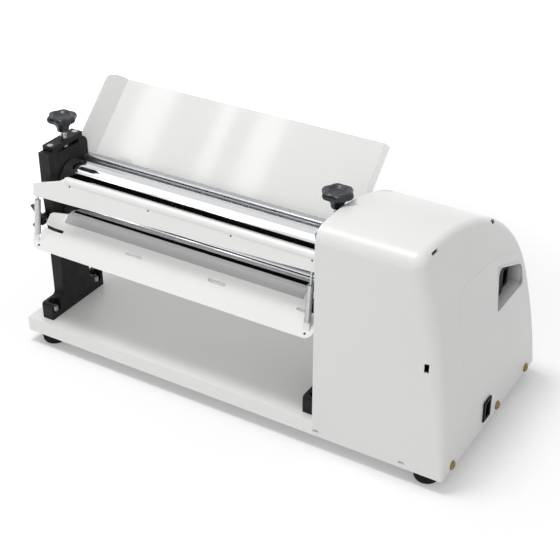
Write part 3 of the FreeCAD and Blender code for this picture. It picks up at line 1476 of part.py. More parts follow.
def make_mains_inlet():
    wide = d.inlet_width
    tall = d.inlet_tall
    border = d.inlet_border
    lip = block("inlet_flange", d.base_length, d.inlet_depth - wide / 2, d.inlet_height - tall / 2,
                d.inlet_lip, wide, tall)
    case_wide = wide - border * 2
    case_tall = tall - border * 2
    case = block("inlet_case", d.base_length - d.inlet_body, d.inlet_depth - case_wide / 2,
                 d.inlet_height - case_tall / 2, d.inlet_body, case_wide, case_tall)
    socket_wall = border / 2
    floor = d.base_length - d.inlet_body * SOCKET_DEPTH_SHARE
    socket = block("inlet_socket", floor, d.inlet_depth - case_wide / 2 + socket_wall,
                   d.inlet_height - case_tall / 2 + socket_wall, d.inlet_body, case_wide - border,
                   case_tall - border)
    node("mains_inlet", cut("mains_inlet", fuse("mains_inlet", [lip, case]), [socket]))
    pin_thick = border * PIN_THICK_SHARE
    pin_tall = border * PIN_TALL_SHARE
    pin_long = d.inlet_body * PIN_LONG_SHARE
    pin_aside = border * PIN_ASIDE_SHARE
    spread = case_tall / 4
    pins = [
        block("inlet_pin", floor, d.inlet_depth + aside - pin_thick / 2, d.inlet_height + up - pin_tall / 2,
              pin_long, pin_thick, pin_tall)
        for aside, up in ((pin_aside, spread), (as_size(0.0) - pin_aside, as_size(0.0)),
                          (pin_aside, as_size(0.0) - spread))
    ]
    node("inlet_pins", group("inlet_pins", pins))


make_base_tray()
make_feet()
for side_name, frame_x, spindle_x in zip(("left", "right"), FRAME_LEFTS, SPINDLES):
    make_frame(f"{side_name}_frame", frame_x)
    make_block(f"{side_name}_bearing_block", frame_x, spindle_x)
    make_bridge(f"{side_name}_bridge", frame_x, spindle_x)
    make_spindle(f"{side_name}_spindle", spindle_x)
    make_star_knob(f"{side_name}_knob", d.knob_hub_length, d.knob_hub_length * KNOB_BORE_SHARE, spindle_x,
                   d.axis_depth, KNOB_LOW)
make_frame_bolts()
make_bridge_screws()
make_roller("lower_roller", d.lower_axis)
make_roller("upper_roller", UPPER_AXIS)
make_bushes("lower_bushes", d.lower_axis)
make_bushes("upper_bushes", UPPER_AXIS)
HALF_TOOTH = 180.0 / d.roller_teeth.value
QUARTER_PINION_TOOTH = 90.0 / d.pinion_teeth.value
make_gear("lower_gear", d.roller_teeth, d.journal_radius + d.fit_clear, d.axis_depth, d.lower_axis, 0.0)
make_gear("upper_gear", d.roller_teeth, d.journal_radius + d.fit_clear, d.axis_depth, UPPER_AXIS, HALF_TOOTH)
make_gear("drive_pinion", d.pinion_teeth, d.shaft_radius + d.fit_clear, PINION_Y, PINION_Z,
          QUARTER_PINION_TOOTH)
make_clip("lower_gear_clip", d.journal_radius, d.axis_depth, d.lower_axis)
make_clip("upper_gear_clip", d.journal_radius, d.axis_depth, UPPER_AXIS)
make_clip("pinion_clip", d.shaft_radius, PINION_Y, PINION_Z)
make_drive()
make_guard_bar()
make_guard_rods()
make_guard_arms()
make_chute()
make_scraper()
make_guard_clamp()
make_infeed_tray()
make_rear_guard()
make_cover()
make_side_panel()
make_cover_screws()
make_switch()
make_mains_inlet()

doc.recompute()
for obj in doc.Objects:
    if "Invalid" in obj.State or "Error" in obj.State:
        raise RuntimeError(f"{obj.Label} failed: {obj.State}")
for piece in NODES:
    if piece.Shape.isNull() or not piece.Shape.isValid():
        raise RuntimeError(f"{piece.Label} has no valid shape")
os.makedirs("parts", exist_ok=True)
for piece in NODES:
    piece.Shape.exportStep(os.path.join("parts", f"{piece.Label}.step"))
    box = piece.Shape.BoundBox
    print(f"{piece.Label}: {len(piece.Shape.Solids)} solids, x {box.XMin:.1f} to {box.XMax:.1f}, "
          f"y {box.YMin:.1f} to {box.YMax:.1f}, z {box.ZMin:.1f} to {box.ZMax:.1f}")
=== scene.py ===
# %% [markdown]
# # A motor-driven dough sheeter
# The machine stands on a white sheet-steel base. Two chromed rollers run between black cast frames, a tray
# feeds the dough from behind, a tipping guard with a chute lets it out in front, and a moulded cover hides
# the motor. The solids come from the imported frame, so this lesson only dresses them: edges, finishes, small
# fittings, light and camera. Everything is in metres, in the same frame as the solids.

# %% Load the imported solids
import json
import math
import bpy
from mathutils import Matrix, Vector


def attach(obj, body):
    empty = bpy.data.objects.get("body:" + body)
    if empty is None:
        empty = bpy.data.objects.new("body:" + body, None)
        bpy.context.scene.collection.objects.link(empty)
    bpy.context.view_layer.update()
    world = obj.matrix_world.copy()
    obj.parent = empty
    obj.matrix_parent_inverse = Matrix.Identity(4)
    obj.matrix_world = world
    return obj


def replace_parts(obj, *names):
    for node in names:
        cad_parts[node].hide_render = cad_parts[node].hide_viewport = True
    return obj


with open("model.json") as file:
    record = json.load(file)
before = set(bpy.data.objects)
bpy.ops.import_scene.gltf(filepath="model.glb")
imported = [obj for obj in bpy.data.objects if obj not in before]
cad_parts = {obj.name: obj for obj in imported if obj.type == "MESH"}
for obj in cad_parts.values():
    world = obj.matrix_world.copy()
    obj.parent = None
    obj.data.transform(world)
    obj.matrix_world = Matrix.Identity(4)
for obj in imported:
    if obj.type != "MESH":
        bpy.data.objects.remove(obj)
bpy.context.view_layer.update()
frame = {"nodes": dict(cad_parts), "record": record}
nodes = frame["nodes"]
MM = 0.001

# %% [markdown]
# ## Measures
# The solids were drawn in bench measures, from the base's front left corner, while the frame's origin is
# under the middle of the machine. One function turns bench millimetres into frame metres, so that every
# fitting below can be placed by the same numbers as the solids.

# %% Bench measures to frame metres
BENCH_ORIGIN = Vector((367.0, 170.0, -22.0))
ROLLER_MIDDLE = 272.0
AXIS_DEPTH = 88.0
LOWER_AXIS = 189.0


def bench(x, y, z):
    """A point given in bench millimetres, in frame metres."""
    return (Vector((x, y, z)) - BENCH_ORIGIN) * MM


lower_middle = bench(ROLLER_MIDDLE, AXIS_DEPTH, LOWER_AXIS)
print("the lower roller's middle sits at", [round(v, 3) for v in lower_middle])

# %% [markdown]
# ## Camera
# The photograph looks down on the machine from its front right. Its angle, lens and place were solved from
# the straight edges of the base and the cover, so they are written here as plain numbers.

# %% Camera at the photograph's angle
CAMERA_AT = bench(1223.1, -1248.7, 1143.7)
AZIMUTH = math.radians(31.008)
ELEVATION = math.radians(31.696)
SENSOR_MM = 36.0
LENS_MM = 81.29
FARTHEST_SEEN = 50.0
camera_data = bpy.data.cameras.new("photo_camera")
camera_data.sensor_width = SENSOR_MM
camera_data.lens = LENS_MM
camera_data.clip_end = FARTHEST_SEEN
camera = bpy.data.objects.new("photo_camera", camera_data)
camera.location = CAMERA_AT
camera.rotation_euler = (math.pi / 2 - ELEVATION, 0.0, AZIMUTH)
bpy.context.scene.collection.objects.link(camera)
bpy.context.scene.camera = camera
print("camera at", [round(v, 3) for v in camera.location])

# %% [markdown]
# ## Colours and nodes
# Colours are written as sRGB hex values, as a paint card gives them, and one function turns them to the
# linear values that shaders need. A second small function adds a shader node with its settings, socket
# values and links, so that each material below reads as a short recipe. A third turns a real size into a
# texture's scale.

# %% Helpers for every material


def linear(hex_colour):
    """An sRGB hex colour as linear red, green, blue and alpha."""
    channels = [int(hex_colour[i:i + 2], 16) / 255 for i in (1, 3, 5)]
    return [c / 12.92 if c <= 0.04045 else ((c + 0.055) / 1.055) ** 2.4 for c in channels] + [1.0]


def add(tree, kind, values=None, links=None, **settings):
    """One node: its settings, the values on its sockets and the outputs that feed it."""
    node = tree.nodes.new(kind)
    for name, value in settings.items():
        setattr(node, name, value)
    for socket, value in (values or {}).items():
        node.inputs[socket].default_value = value
    for socket, source in (links or {}).items():
        tree.links.new(source, node.inputs[socket])
    return node


def per_mm(size):
    """The scale at which a noise has about one grain every size millimetres."""
    return 1000.0 / size


print("white card in linear:", [round(v, 3) for v in linear("#E8E8E6")[:3]])

# %% [markdown]
# ## One recipe for a real surface
# No surface is one flat colour. Paint and plastic vary a little from patch to patch, gloss varies with
# handling, and each has a fine relief: orange peel on paint, spark texture on mouldings, sand on castings.
# The recipe mixes two near colours by a wide noise, swings the roughness by another, and adds relief from a
# fine noise. Ground metal gets lines round its axis in place of the fine noise. Real grain and grinding
# lines are finer than a pixel here, so they are drawn coarser, just enough to show. The base's paint is the
# first finish made by it.

# %% The recipe
# Gloss varies in patches of this share of the colour's
HANDLING_SHARE = 0.37
# Most of a noise's values lie between these two
NOISE_LOW = 0.3
NOISE_HIGH = 0.7
# A wave texture of scale one turns by this many radians in each metre
WAVE_TURN = 20.0


def surface(name, light, dark, patch, gloss, depth, grain=None, lines=None, **sockets):
    """A material. light and dark are its two near colours, and patch is the size of their patches in mm.
    gloss is the lowest and highest roughness. depth is the relief's depth in mm, and grain its grain in mm.
    lines takes the grain's place: an axis, and the mm in which its wave turns by a radian."""
    material = bpy.data.materials.new(name)
    material.use_nodes = True
    tree = material.node_tree
    tree.nodes.clear()
    place = add(tree, "ShaderNodeTexCoord").outputs["Object"]
    wide = add(tree, "ShaderNodeTexNoise", {"Scale": per_mm(patch), "Detail": 4.0}, {"Vector": place})
    mixed = add(tree, "ShaderNodeMixRGB", {"Color1": linear(light), "Color2": linear(dark)},
                {"Fac": wide.outputs["Fac"]})
    handled = add(tree, "ShaderNodeTexNoise", {"Scale": per_mm(patch * HANDLING_SHARE), "Detail": 6.0},
                  {"Vector": place})
    rough = add(tree, "ShaderNodeMapRange",
                {"From Min": NOISE_LOW, "From Max": NOISE_HIGH, "To Min": gloss[0], "To Max": gloss[1]},
                {"Value": handled.outputs["Fac"]})
    if lines:
        axis, radian = lines
        fine = add(tree, "ShaderNodeTexWave", {
            "Scale": per_mm(radian) / WAVE_TURN,
            "Distortion": 0.6,
            "Detail": 3.0,
            "Detail Scale": 2.0,
        }, {"Vector": place}, bands_direction=axis)
    else:
        fine = add(tree, "ShaderNodeTexNoise", {"Scale": per_mm(grain), "Detail": 3.0}, {"Vector": place})
    bump = add(tree, "ShaderNodeBump", {"Strength": 1.0, "Distance": depth * MM},
               {"Height": fine.outputs["Fac"]})
    shader = add(tree, "ShaderNodeBsdfPrincipled", sockets, {
        "Base Color": mixed.outputs["Color"],
        "Roughness": rough.outputs["Result"],
        "Normal": bump.outputs["Normal"],
    })
    add(tree, "ShaderNodeOutputMaterial", links={"Surface": shader.outputs["BSDF"]})
    return material


print("a patch of 100 mm has gloss patches of", 100 * HANDLING_SHARE, "mm")

# %% The base's paint
finishes = {
    # Powder-coated sheet steel: baked paint, bright, with a soft shine and a faint orange peel
    "white_enamel": surface("powder_coated_steel_white", "#F0F0EE", "#EBEBE9", patch=140, gloss=(0.30, 0.38),
                            depth=0.02, grain=2.6, **{"Coat Weight": 0.15, "Coat Roughness": 0.25}),
}
print("nodes in the base's paint:", len(finishes["white_enamel"].node_tree.nodes))

# %% [markdown]
# ## Painted and moulded finishes
# Each finish starts from what the real one is and how its surface was made, and the comment on each says
# what that gives the eye. Two near colours and a narrow swing of gloss are enough for paint and plastic: a
# wider swing would look dirty.

# %% Painted and moulded finishes
COVER_PLASTIC = {"light": "#E9E9E8", "dark": "#E5E5E4", "patch": 160, "gloss": (0.36, 0.44), "depth": 0.02,
                 "grain": 1.3}
finishes.update({
    # Moulded ABS cover: satin from a spark-eroded mould, so highlights are broad and soft
    "white_cover": surface("moulded_abs_white", **COVER_PLASTIC),
    # Stove enamel on the tray: glassy, so it mirrors its surroundings at a low angle
    "white_tray": surface("stove_enamel_white", "#E4E4E2", "#DDDDDB", patch=180, gloss=(0.05, 0.09),
                          depth=0.008, grain=6.0, **{"Coat Weight": 0.4, "Coat Roughness": 0.05}),
    # Black painted iron casting: sand grain under a thin paint, dull with small sparkles
    "black_casting": surface("painted_cast_iron_black", "#08090A", "#0F1011", patch=40, gloss=(0.46, 0.62),
                             depth=0.12, grain=1.6, **{"Specular IOR Level": 0.3}),
    # Moulded phenolic knobs: nearly black, slightly blue, with a waxy shine
    "black_plastic": surface("moulded_phenolic_black", "#14181E", "#1C2129", patch=30, gloss=(0.30, 0.42),
                             depth=0.02, grain=0.9),
    # Moulded nylon switch bodies: deep black and matt, so they read as holes beside the white cover
    "black_switch": surface("moulded_nylon_black", "#060607", "#0B0B0C", patch=30, gloss=(0.48, 0.60),
                            depth=0.02, grain=0.9, **{"Specular IOR Level": 0.15}),
    # Rubber feet: flat black that hardly shines
    "rubber": surface("moulded_rubber_black", "#0E0E0E", "#151515", patch=20, gloss=(0.70, 0.85),
                      depth=0.04, grain=0.8, **{"Specular IOR Level": 0.2}),
    # Dark motor paint: sprayed, half dull
    "motor_paint": surface("sprayed_motor_paint_grey", "#3A3D40", "#44474A", patch=60, gloss=(0.40, 0.52),
                           depth=0.03, grain=2.0),
    # Button caps: glossy mouldings, a green so deep that it reads as black in the recess, and a plain red
    "green_button": surface("moulded_cap_green", "#12301D", "#0F2818", patch=20, gloss=(0.20, 0.28),
                            depth=0.01, grain=1.0),
    "red_button": surface("moulded_cap_red", "#B3261E", "#9E1F19", patch=20, gloss=(0.20, 0.28),
                          depth=0.01, grain=1.0),
})
print("painted and moulded finishes:", len(finishes))

# %% [markdown]
# ## Metal finishes
# A metal has no colour but that of its reflections, so its two near colours tint what it mirrors, and its
# gloss says how it was worked: ground chrome is nearly a mirror, and turned, plated and cast parts are
# softer.

# %% Metal finishes
METAL = {"Metallic": 1.0}
finishes.update({
    # Hard chrome on ground rollers: a clear mirror, only streaked round the roller by the grinding wheel.
    # The streaks are drawn about 10 mm apart so that they show
    "chrome": surface("hard_chrome_ground", "#DCDDDF", "#D4D5D8", patch=220, gloss=(0.05, 0.10),
                      depth=0.002, lines=("X", 1.6), **METAL),
    # Turned steel: a soft grey sheen over the fine grain of the tool
    "steel": surface("turned_steel_bright", "#B9BBBD", "#A9ABAE", patch=30, gloss=(0.24, 0.34),
                     depth=0.01, grain=1.0, **METAL),
    # Blasted steel strip: a dull even grey that reads more like paint than a mirror, so it isn't metallic
    "steel_strip": surface("blasted_steel_strip", "#B4B4B4", "#ACACAC", patch=60, gloss=(0.44, 0.54),
                           depth=0.006, grain=1.2),
    # Oiled bronze bushes: brown yellow, smooth
    "bronze": surface("oiled_bronze", "#A97F4B", "#93693A", patch=20, gloss=(0.28, 0.40),
                      depth=0.01, grain=1.0, **METAL),
    # Yellow zinc plate: golden, with small brown patches
    "yellow_zinc": surface("yellow_zinc_plate", "#B0905A", "#4A3A22", patch=5, gloss=(0.30, 0.42),
                           depth=0.01, grain=0.8, **METAL),
    # Die-cast aluminium: pale grey, a fine skin
    "aluminium": surface("die_cast_aluminium", "#C3C4C6", "#B5B6B9", patch=40, gloss=(0.38, 0.50),
                         depth=0.03, grain=1.2, **METAL),
    # Plated contact pins: a clean light gold, worn smooth by the plug
    "brass_pins": surface("plated_brass_pins", "#D2B26A", "#C2A25C", patch=10, gloss=(0.20, 0.28),
                          depth=0.01, grain=0.8, **METAL),
})
print("all finishes:", len(finishes))

# %% [markdown]
# ## The switch pocket's painted shade
# A pocket is lit only through its mouth, and a studio's white walls hardly reach its bottom. Its moulding is
# the cover's own, with that shade painted into its colour: a range turns the distance from the mouth into a
# grey that multiplies the colour, darker with depth. At the mouth it keeps the cover's white.

# %% Painted shade: the cover's moulding made darker with depth inside the pocket
POCKET_MOUTH = 711.0
POCKET_DEEP = 693.0
POCKET_SHADE = 0.50
pocket = surface("moulded_abs_pocket_painted_shade", **COVER_PLASTIC)
tree = pocket.node_tree
shader = next(node for node in tree.nodes if node.type == "BSDF_PRINCIPLED")
mixed = shader.inputs["Base Color"].links[0].from_socket
spot = add(tree, "ShaderNodeTexCoord")
split = add(tree, "ShaderNodeSeparateXYZ", links={0: spot.outputs["Object"]})
fade = add(tree, "ShaderNodeMapRange",
           {"From Min": bench(POCKET_DEEP, 0, 0).x, "From Max": bench(POCKET_MOUTH, 0, 0).x,
            "To Min": POCKET_SHADE, "To Max": 1.0}, {"Value": split.outputs["X"]})
shade = add(tree, "ShaderNodeMixRGB", {"Fac": 1.0}, {"Color1": mixed, "Color2": fade.outputs["Result"]},
            blend_type="MULTIPLY")
tree.links.new(shade.outputs["Color"], shader.inputs["Base Color"])
finishes["painted_shade_pocket"] = pocket
print("pocket darkens over", POCKET_MOUTH - POCKET_DEEP, "mm")

# %% [markdown]
# ## Dressing the solids
# A solid from CAD has knife edges, and a real edge is always a little broken: sheet is folded, castings are
# fettled, mouldings leave the tool with a radius. A weld joins the solid's triangles, flat faces are joined
# again, a bevel breaks each sharp edge by a width that suits its process, and smooth shading does the rest.
# The first three are modifiers, so the points and faces of the meshes stay as packed.

# %% Broken edges and finishes for every solid
USUAL_EDGE_MM = 0.3
EDGE_MM = {"left_frame": 1.4, "right_frame": 1.4, "base_tray": 1.6, "motor_cover": 0.9, "rubber_feet": 1.5,
           "guard_bar": 0.5, "chute": 0.5, "infeed_tray": 0.5, "rear_guard": 0.5, "left_bridge": 1.0,
           "right_bridge": 1.0, "left_bearing_block": 0.8, "right_bearing_block": 0.8, "upper_roller": 0.6,
           "lower_roller": 0.6, "gearbox": 2.0, "motor_stand": 0.8, "run_capacitor": 1.5}
SHARP = math.radians(32.0)
FLAT = math.radians(0.4)
# In metres: points of neighbouring triangles that lie closer than this are one point
WELD_REACH = 2e-6


def bevel(obj, width_mm):
    """Rounds the sharp edges of an object."""
    edges = obj.modifiers.new("broken_edges", "BEVEL")
    edges.width = width_mm * MM
    edges.segments = 2
    edges.limit_method = "ANGLE"
    edges.angle_limit = SHARP
    edges.harden_normals = True


def break_edges(obj, width_mm):
    """Joins the triangles of a solid, shades it smooth and rounds its sharp edges."""
    if "custom_normal" in obj.data.attributes:
        obj.data.attributes.remove(obj.data.attributes["custom_normal"])
    for polygon in obj.data.polygons:
        polygon.use_smooth = True
    weld = obj.modifiers.new("weld", "WELD")
    weld.merge_threshold = WELD_REACH
    flat = obj.modifiers.new("flat_faces", "DECIMATE")
    flat.decimate_type = "DISSOLVE"
    flat.angle_limit = FLAT
    bevel(obj, width_mm)


# Solids that look unlike the rest of their slot; the switch pocket's look carries painted shade, darker with
# depth
OWN_LOOK = {"lower_scraper": "steel_strip", "switch_pocket": "painted_shade_pocket", "mains_inlet": "black_switch"}
node_slot = {part["node"]: part["material_slot"] for part in frame["record"]["subparts"]}
for name, solid in nodes.items():
    solid.data.materials.clear()
    solid.data.materials.append(finishes[OWN_LOOK.get(name, node_slot[name])])
    break_edges(solid, EDGE_MM.get(name, USUAL_EDGE_MM))
print("dressed", len(nodes), "solids")

# %% [markdown]
# ## Fittings
# Small things that the solids leave out, or have in a plainer form, are modelled here as meshes of their
# own. Each one rides the body it is fixed to, so it moves with the guard, the adjuster or the button. They
# are rings of points joined by bands of faces, the way a lathe or a mould would shape them, because rings
# are easy to write down and to read. Three small functions do this work.

# %% Pieces from points and rings


def band(first, second, count):
    """The faces between two rings of points, each given by the number of its first point."""
    return [(first + k, first + (k + 1) % count, second + (k + 1) % count, second + k) for k in range(count)]


def ring_faces(rings, count):
    """The faces of rings of points, one after another, with a flat face on the first and the last."""
    faces = []
    for ring in range(rings - 1):
        faces += band(ring * count, (ring + 1) * count, count)
    faces.append(tuple(reversed(range(count))))
    faces.append(tuple(range((rings - 1) * count, rings * count)))
    return faces


def piece(name, points, faces, finish, body, look=None):
    """A mesh piece in frame metres, riding a body. look is given where it differs from its slot's finish."""
    mesh = bpy.data.meshes.new(name)
    mesh.from_pydata([tuple(point) for point in points], [], faces)
    mesh.polygons.foreach_set("use_smooth", [True] * len(mesh.polygons))
    mesh.materials.append(finishes[look or finish])
    obj = bpy.data.objects.new(name, mesh)
    bpy.context.scene.collection.objects.link(obj)
    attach(obj, body)
    return obj


print("two rings of four points make", len(ring_faces(2, 4)), "faces")

# %% [markdown]
# ## Star knobs
# A phenolic knob is pressed in a mould: a hub that flares into a ring of soft lobes, with a dished top. Each
# row below is a ring of the mould: its height, its radius and how deep the notches between lobes are, all in
# mm. The notch follows a cosine, so lobes and notches are equally round. The knob stands for the solid's
# plainer one.

# %% Star knobs
KNOB_RINGS = ((5.0, 8.2, 0.0), (5.6, 9.0, 0.0), (11.0, 9.6, 0.0), (14.0, 11.4, 0.2), (17.0, 13.4, 0.4),
              (19.0, 15.6, 1.0), (20.4, 19.0, 2.0), (22.2, 22.2, 3.0), (25.0, 23.8, 3.4), (28.0, 23.6, 3.4),
              (30.4, 21.8, 3.0), (31.7, 18.8, 2.2), (31.9, 15.8, 1.2), (31.0, 13.2, 0.5), (29.2, 11.4, 0.0),
              (28.0, 9.2, 0.0), (27.8, 6.0, 0.0), (28.5, 3.0, 0.0), (28.7, 0.8, 0.0))
KNOB_FOOT = 321.0
KNOB_AT = {"left": 34.5, "right": 510.5}
LOBES = 6
STEPS_PER_LOBE = 16
KNOB_STEPS = LOBES * STEPS_PER_LOBE


def round_angles(count):
    """Angles spread evenly once round, in radians."""
    return [2 * math.pi * k / count for k in range(count)]


def star_knob(side):
    """One lobed knob on its spindle."""
    points = []
    for height, radius, notch in KNOB_RINGS:
        for angle in round_angles(KNOB_STEPS):
            reach = radius - notch * (1.0 - math.cos(LOBES * angle)) / 2
            x = KNOB_AT[side] + reach * math.cos(angle)
            y = AXIS_DEPTH + reach * math.sin(angle)
            points.append(bench(x, y, KNOB_FOOT + height))
    knob = piece(f"{side}_star_knob", points, ring_faces(len(KNOB_RINGS), KNOB_STEPS), "black_plastic",
                 f"{side}_adjuster")
    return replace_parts(knob, f"{side}_knob")


knobs = [star_knob(side) for side in KNOB_AT]
print("knobs:", [len(knob.data.polygons) for knob in knobs], "faces")

# %% [markdown]
# ## Screws and rivets on the guard
# A row of small dark screws runs along the bar near its top, bright rivets hold the scraper's strip to the
# chute, and a dark screw sits at each end of the chute's front edge. Both sheets lean, so each head is set
# along its sheet's own normal. A place on the chute is given up its slope, which makes the rows easy to
# read.

# %% Places on the guard's sheets
BAR_LEAN = 0.14
BAR_FRONT_Y = 22.2
BAR_FRONT_Z = 240.0
CHUTE_FRONT_Y = 4.6
CHUTE_FRONT_Z = 158.0
CHUTE_RISE = 45.0
CHUTE_RUN = 50.0
CHUTE_SLOPE = math.atan2(CHUTE_RISE, CHUTE_RUN)
SHEET = 1.5


def on_bar(x, z):
    """A point on the front of the guard bar, at a height."""
    return bench(x, BAR_FRONT_Y + (z - BAR_FRONT_Z) * BAR_LEAN, z)


def on_chute(x, up):
    """A point on the upper face of the chute, so far up its slope."""
    y = CHUTE_FRONT_Y + up * math.cos(CHUTE_SLOPE) - SHEET * math.sin(CHUTE_SLOPE)
    z = CHUTE_FRONT_Z + up * math.sin(CHUTE_SLOPE) + SHEET * math.cos(CHUTE_SLOPE)
    return bench(x, y, z)


bar_normal = (0.0, -1.0, BAR_LEAN)
chute_normal = (0.0, -math.sin(CHUTE_SLOPE), math.cos(CHUTE_SLOPE))
print("the chute slopes by", round(math.degrees(CHUTE_SLOPE), 1), "degrees")

# %% Screws and rivets
# A head's rings: shares of its radius and of its height
DOME_PROFILE = ((1.0, -0.6), (1.0, 0.3), (0.86, 0.72), (0.55, 0.94), (0.15, 1.0))
DOME_STEPS = 20


def dome(name, centre, normal, size, finish, body):
    """A low round head that stands on a surface. Its size is its radius and its height in mm."""
    radius, height = size
    turn = Vector(normal).normalized().to_track_quat("Z", "Y").to_matrix()
    points = []
    for share, rise in DOME_PROFILE:
        for angle in round_angles(DOME_STEPS):
            spoke = Vector((math.cos(angle), math.sin(angle), 0.0)) * radius * share
            points.append(centre + turn @ (spoke + Vector((0.0, 0.0, rise * height))) * MM)
    return piece(name, points, ring_faces(len(DOME_PROFILE), DOME_STEPS), finish, body)


# Each row: name, sheet, its normal, height or way up the slope, places along it, size of a head, finish
GUARD_HEADS = (
    ("bar_screw", on_bar, bar_normal, 271.5, (90.5, 235.0, 376.5, 507.0), (1.5, 0.4), "motor_paint"),
    ("chute_rivet", on_chute, chute_normal, 55.0, (76.0, 221.0, 362.0, 474.0), (1.7, 0.7), "steel"),
    ("chute_screw", on_chute, chute_normal, 6.5, (33.0, 507.0), (1.9, 0.5), "motor_paint"),
)
guard_heads = []
for label, sheet_point, normal, up, row, size, finish in GUARD_HEADS:
    for number, x in enumerate(row):
        head = dome(f"{label}_{number}", sheet_point(x, up), normal, size, finish, "front_guard")
        guard_heads.append(head)
print("screws and rivets:", len(guard_heads))

# %% [markdown]
# ## Lips in the chute's slots
# A slot in sheet can be lanced: the tongue cut loose isn't removed but bent down, and shows behind the slot
# as a white lip. The two slots in the middle get one. Behind the two outer slots a lip would touch the
# frames when the guard tips. A lip is a thin block of eight points, two rings of four.

# %% Slot lips
CHUTE_LEFT = 20.0
CHUTE_LONG = 499.0
SLOT_COUNT = 4
SLOT_FIRST = 14.0
SLOT_LAST = 7.0
SLOT_LONG = 31.0
SLOT_UP = 37.0
SLOT_STEP = (CHUTE_LONG - SLOT_FIRST - SLOT_LONG - SLOT_LAST) / (SLOT_COUNT - 1)
LIP_INSET = 1.0
LIP_UP = 2.0
LIP_SINK = 2.2
LIP_LEAN = 0.5
LIP_DROP = 7.0
LIP_THICK = 0.8


def slot_lip(number):
    """The lip behind one slot of the chute."""
    start = CHUTE_LEFT + SLOT_FIRST + number * SLOT_STEP
    top = on_chute(start + LIP_INSET, SLOT_UP + LIP_UP) - Vector((0.0, 0.0, LIP_SINK)) * MM
    along = Vector((SLOT_LONG - 2 * LIP_INSET, 0.0, 0.0)) * MM
    hang = Vector((0.0, LIP_LEAN, -LIP_DROP)) * MM
    front = [top + hang, top + along + hang, top + along, top]
    back = [corner + Vector((0.0, LIP_THICK, 0.0)) * MM for corner in front]
    return piece(f"chute_slot_lip_{number}", back + front, ring_faces(2, 4), "white_enamel", "front_guard")


lips = [slot_lip(number) for number in (1, 2)]
print("slot lips:", [lip.name for lip in lips])

# %% [markdown]
# ## Rolled edge of the guard bar
# The top of the bar is not a knife edge: the sheet is rolled over, so it shows a grey line below and a
# bright one above. A rolled edge is a tube with a rounded start and end, and so a turned shape: a profile of
# distances and radii, swept round an axis. One function sweeps a profile along any of the three axes, for
# one centre or for several, and the screws, feet and switch below use it too.

# %% Rolled edge
TURN_STEPS = 32
SIDEWAYS = (1, 0, 0)
ROLL_AT = (0.0, 32.6, 276.4)
ROLL_RADIUS = 6.4
ROLL_STEPS = 28
# Places along the bar, and the share of the radius there
ROLL_SHARES = ((77.0, 0.05), (77.6, 0.5), (79.0, 0.8), (81.5, 0.96), (84.0, 1.0),
               (512.0, 1.0), (515.0, 0.94), (517.0, 0.75), (518.0, 0.4), (518.3, 0.05))


def turned(name, centres, axis, profile, finish, body, look=None, steps=TURN_STEPS):
    """One piece with a copy of a turned profile at each centre. A profile's row is a distance and a radius,
    in mm."""
    points = []
    faces = []
    along = Vector(axis)
    first = Vector((axis[1], axis[2], axis[0]))
    second = along.cross(first)
    for centre in centres:
        start = len(points)
        for distance, radius in profile:
            for angle in round_angles(steps):
                spoke = first * math.cos(angle) + second * math.sin(angle)
                points.append(bench(*(Vector(centre) + along * distance + spoke * radius)))
        faces += [tuple(start + k for k in face) for face in ring_faces(len(profile), steps)]
    return piece(name, points, faces, finish, body, look)


roll_profile = [(x, ROLL_RADIUS * share) for x, share in ROLL_SHARES]
roll = turned("guard_bar_rolled_edge", [ROLL_AT], SIDEWAYS, roll_profile, "white_enamel", "front_guard",
              steps=ROLL_STEPS)
print("rolled edge:", len(roll.data.polygons), "faces")

# %% [markdown]
# ## Slots in the cover
# The cover has a few slots for its clips near the rounded end, and two half-round cuts along its lower edge.
# A slot is a real hole, so it is cut by a boolean modifier: one hidden mesh holds all the cutting blocks,
# and the cover's own mesh stays as it came. Each block is turned to face its part of the surface.

# %% Cutting blocks
# Each row: a slot's place, the surface's normal there, and half the slot's two sizes
CLIP_SLOTS = (((695.4, 0.2, 178.4), (0.17, -0.98, 0.04), (3.4, 7.0)),
              ((679.0, 38.2, 330.8), (0.94, 0.0, 0.35), (8.0, 2.4)),
              ((688.0, 212.5, 295.4), (0.72, -0.10, 0.68), (6.0, 3.0)))
HALF_CUTS = ((532.0, 0.0, 7.0), (668.0, 0.0, 7.0))
HALF_CUT_WIDE = 5.0
HALF_CUT_TALL = 4.6
HALF_CUT_STEPS = 10
FACING_FRONT = (0.0, -1.0, 0.0)
CUT_DEPTH = 6.0
cutter_points = []
cutter_faces = []


def add_cutter(outline, place, normal):
    """A block with a flat outline in mm that cuts along a normal, both ways from its place."""
    turn = Vector(normal).normalized().to_track_quat("Z", "Y").to_matrix()
    start = len(cutter_points)
    for end in (-CUT_DEPTH, CUT_DEPTH):
        cutter_points.extend(bench(*place) + turn @ Vector((u, v, end)) * MM for u, v in outline)
    cutter_faces.extend(tuple(start + k for k in face) for face in ring_faces(2, len(outline)))


for place, normal, (wide, tall) in CLIP_SLOTS:
    add_cutter([(-wide, -tall), (wide, -tall), (wide, tall), (-wide, tall)], place, normal)
half_turn = [math.pi * k / HALF_CUT_STEPS for k in range(HALF_CUT_STEPS + 1)]
half_round = [(HALF_CUT_WIDE * math.cos(angle), HALF_CUT_TALL * math.sin(angle)) for angle in half_turn]
for place in HALF_CUTS:
    add_cutter(half_round, place, FACING_FRONT)
print("cutting blocks:", len(CLIP_SLOTS) + len(HALF_CUTS))

# %% Clip slots and half-round cuts
cutter_mesh = bpy.data.meshes.new("cover_slot_cutter")
cutter_mesh.from_pydata([tuple(point) for point in cutter_points], [], cutter_faces)
cutter = bpy.data.objects.new("cover_slot_cutter", cutter_mesh)
bpy.context.scene.collection.objects.link(cutter)
cutter.hide_render = True
cutter.hide_viewport = True
slots_cut = nodes["motor_cover"].modifiers.new("clip_slots", "BOOLEAN")
slots_cut.operation = "DIFFERENCE"
slots_cut.solver = "EXACT"
slots_cut.object = cutter
print("faces that cut the cover:", len(cutter_mesh.polygons))

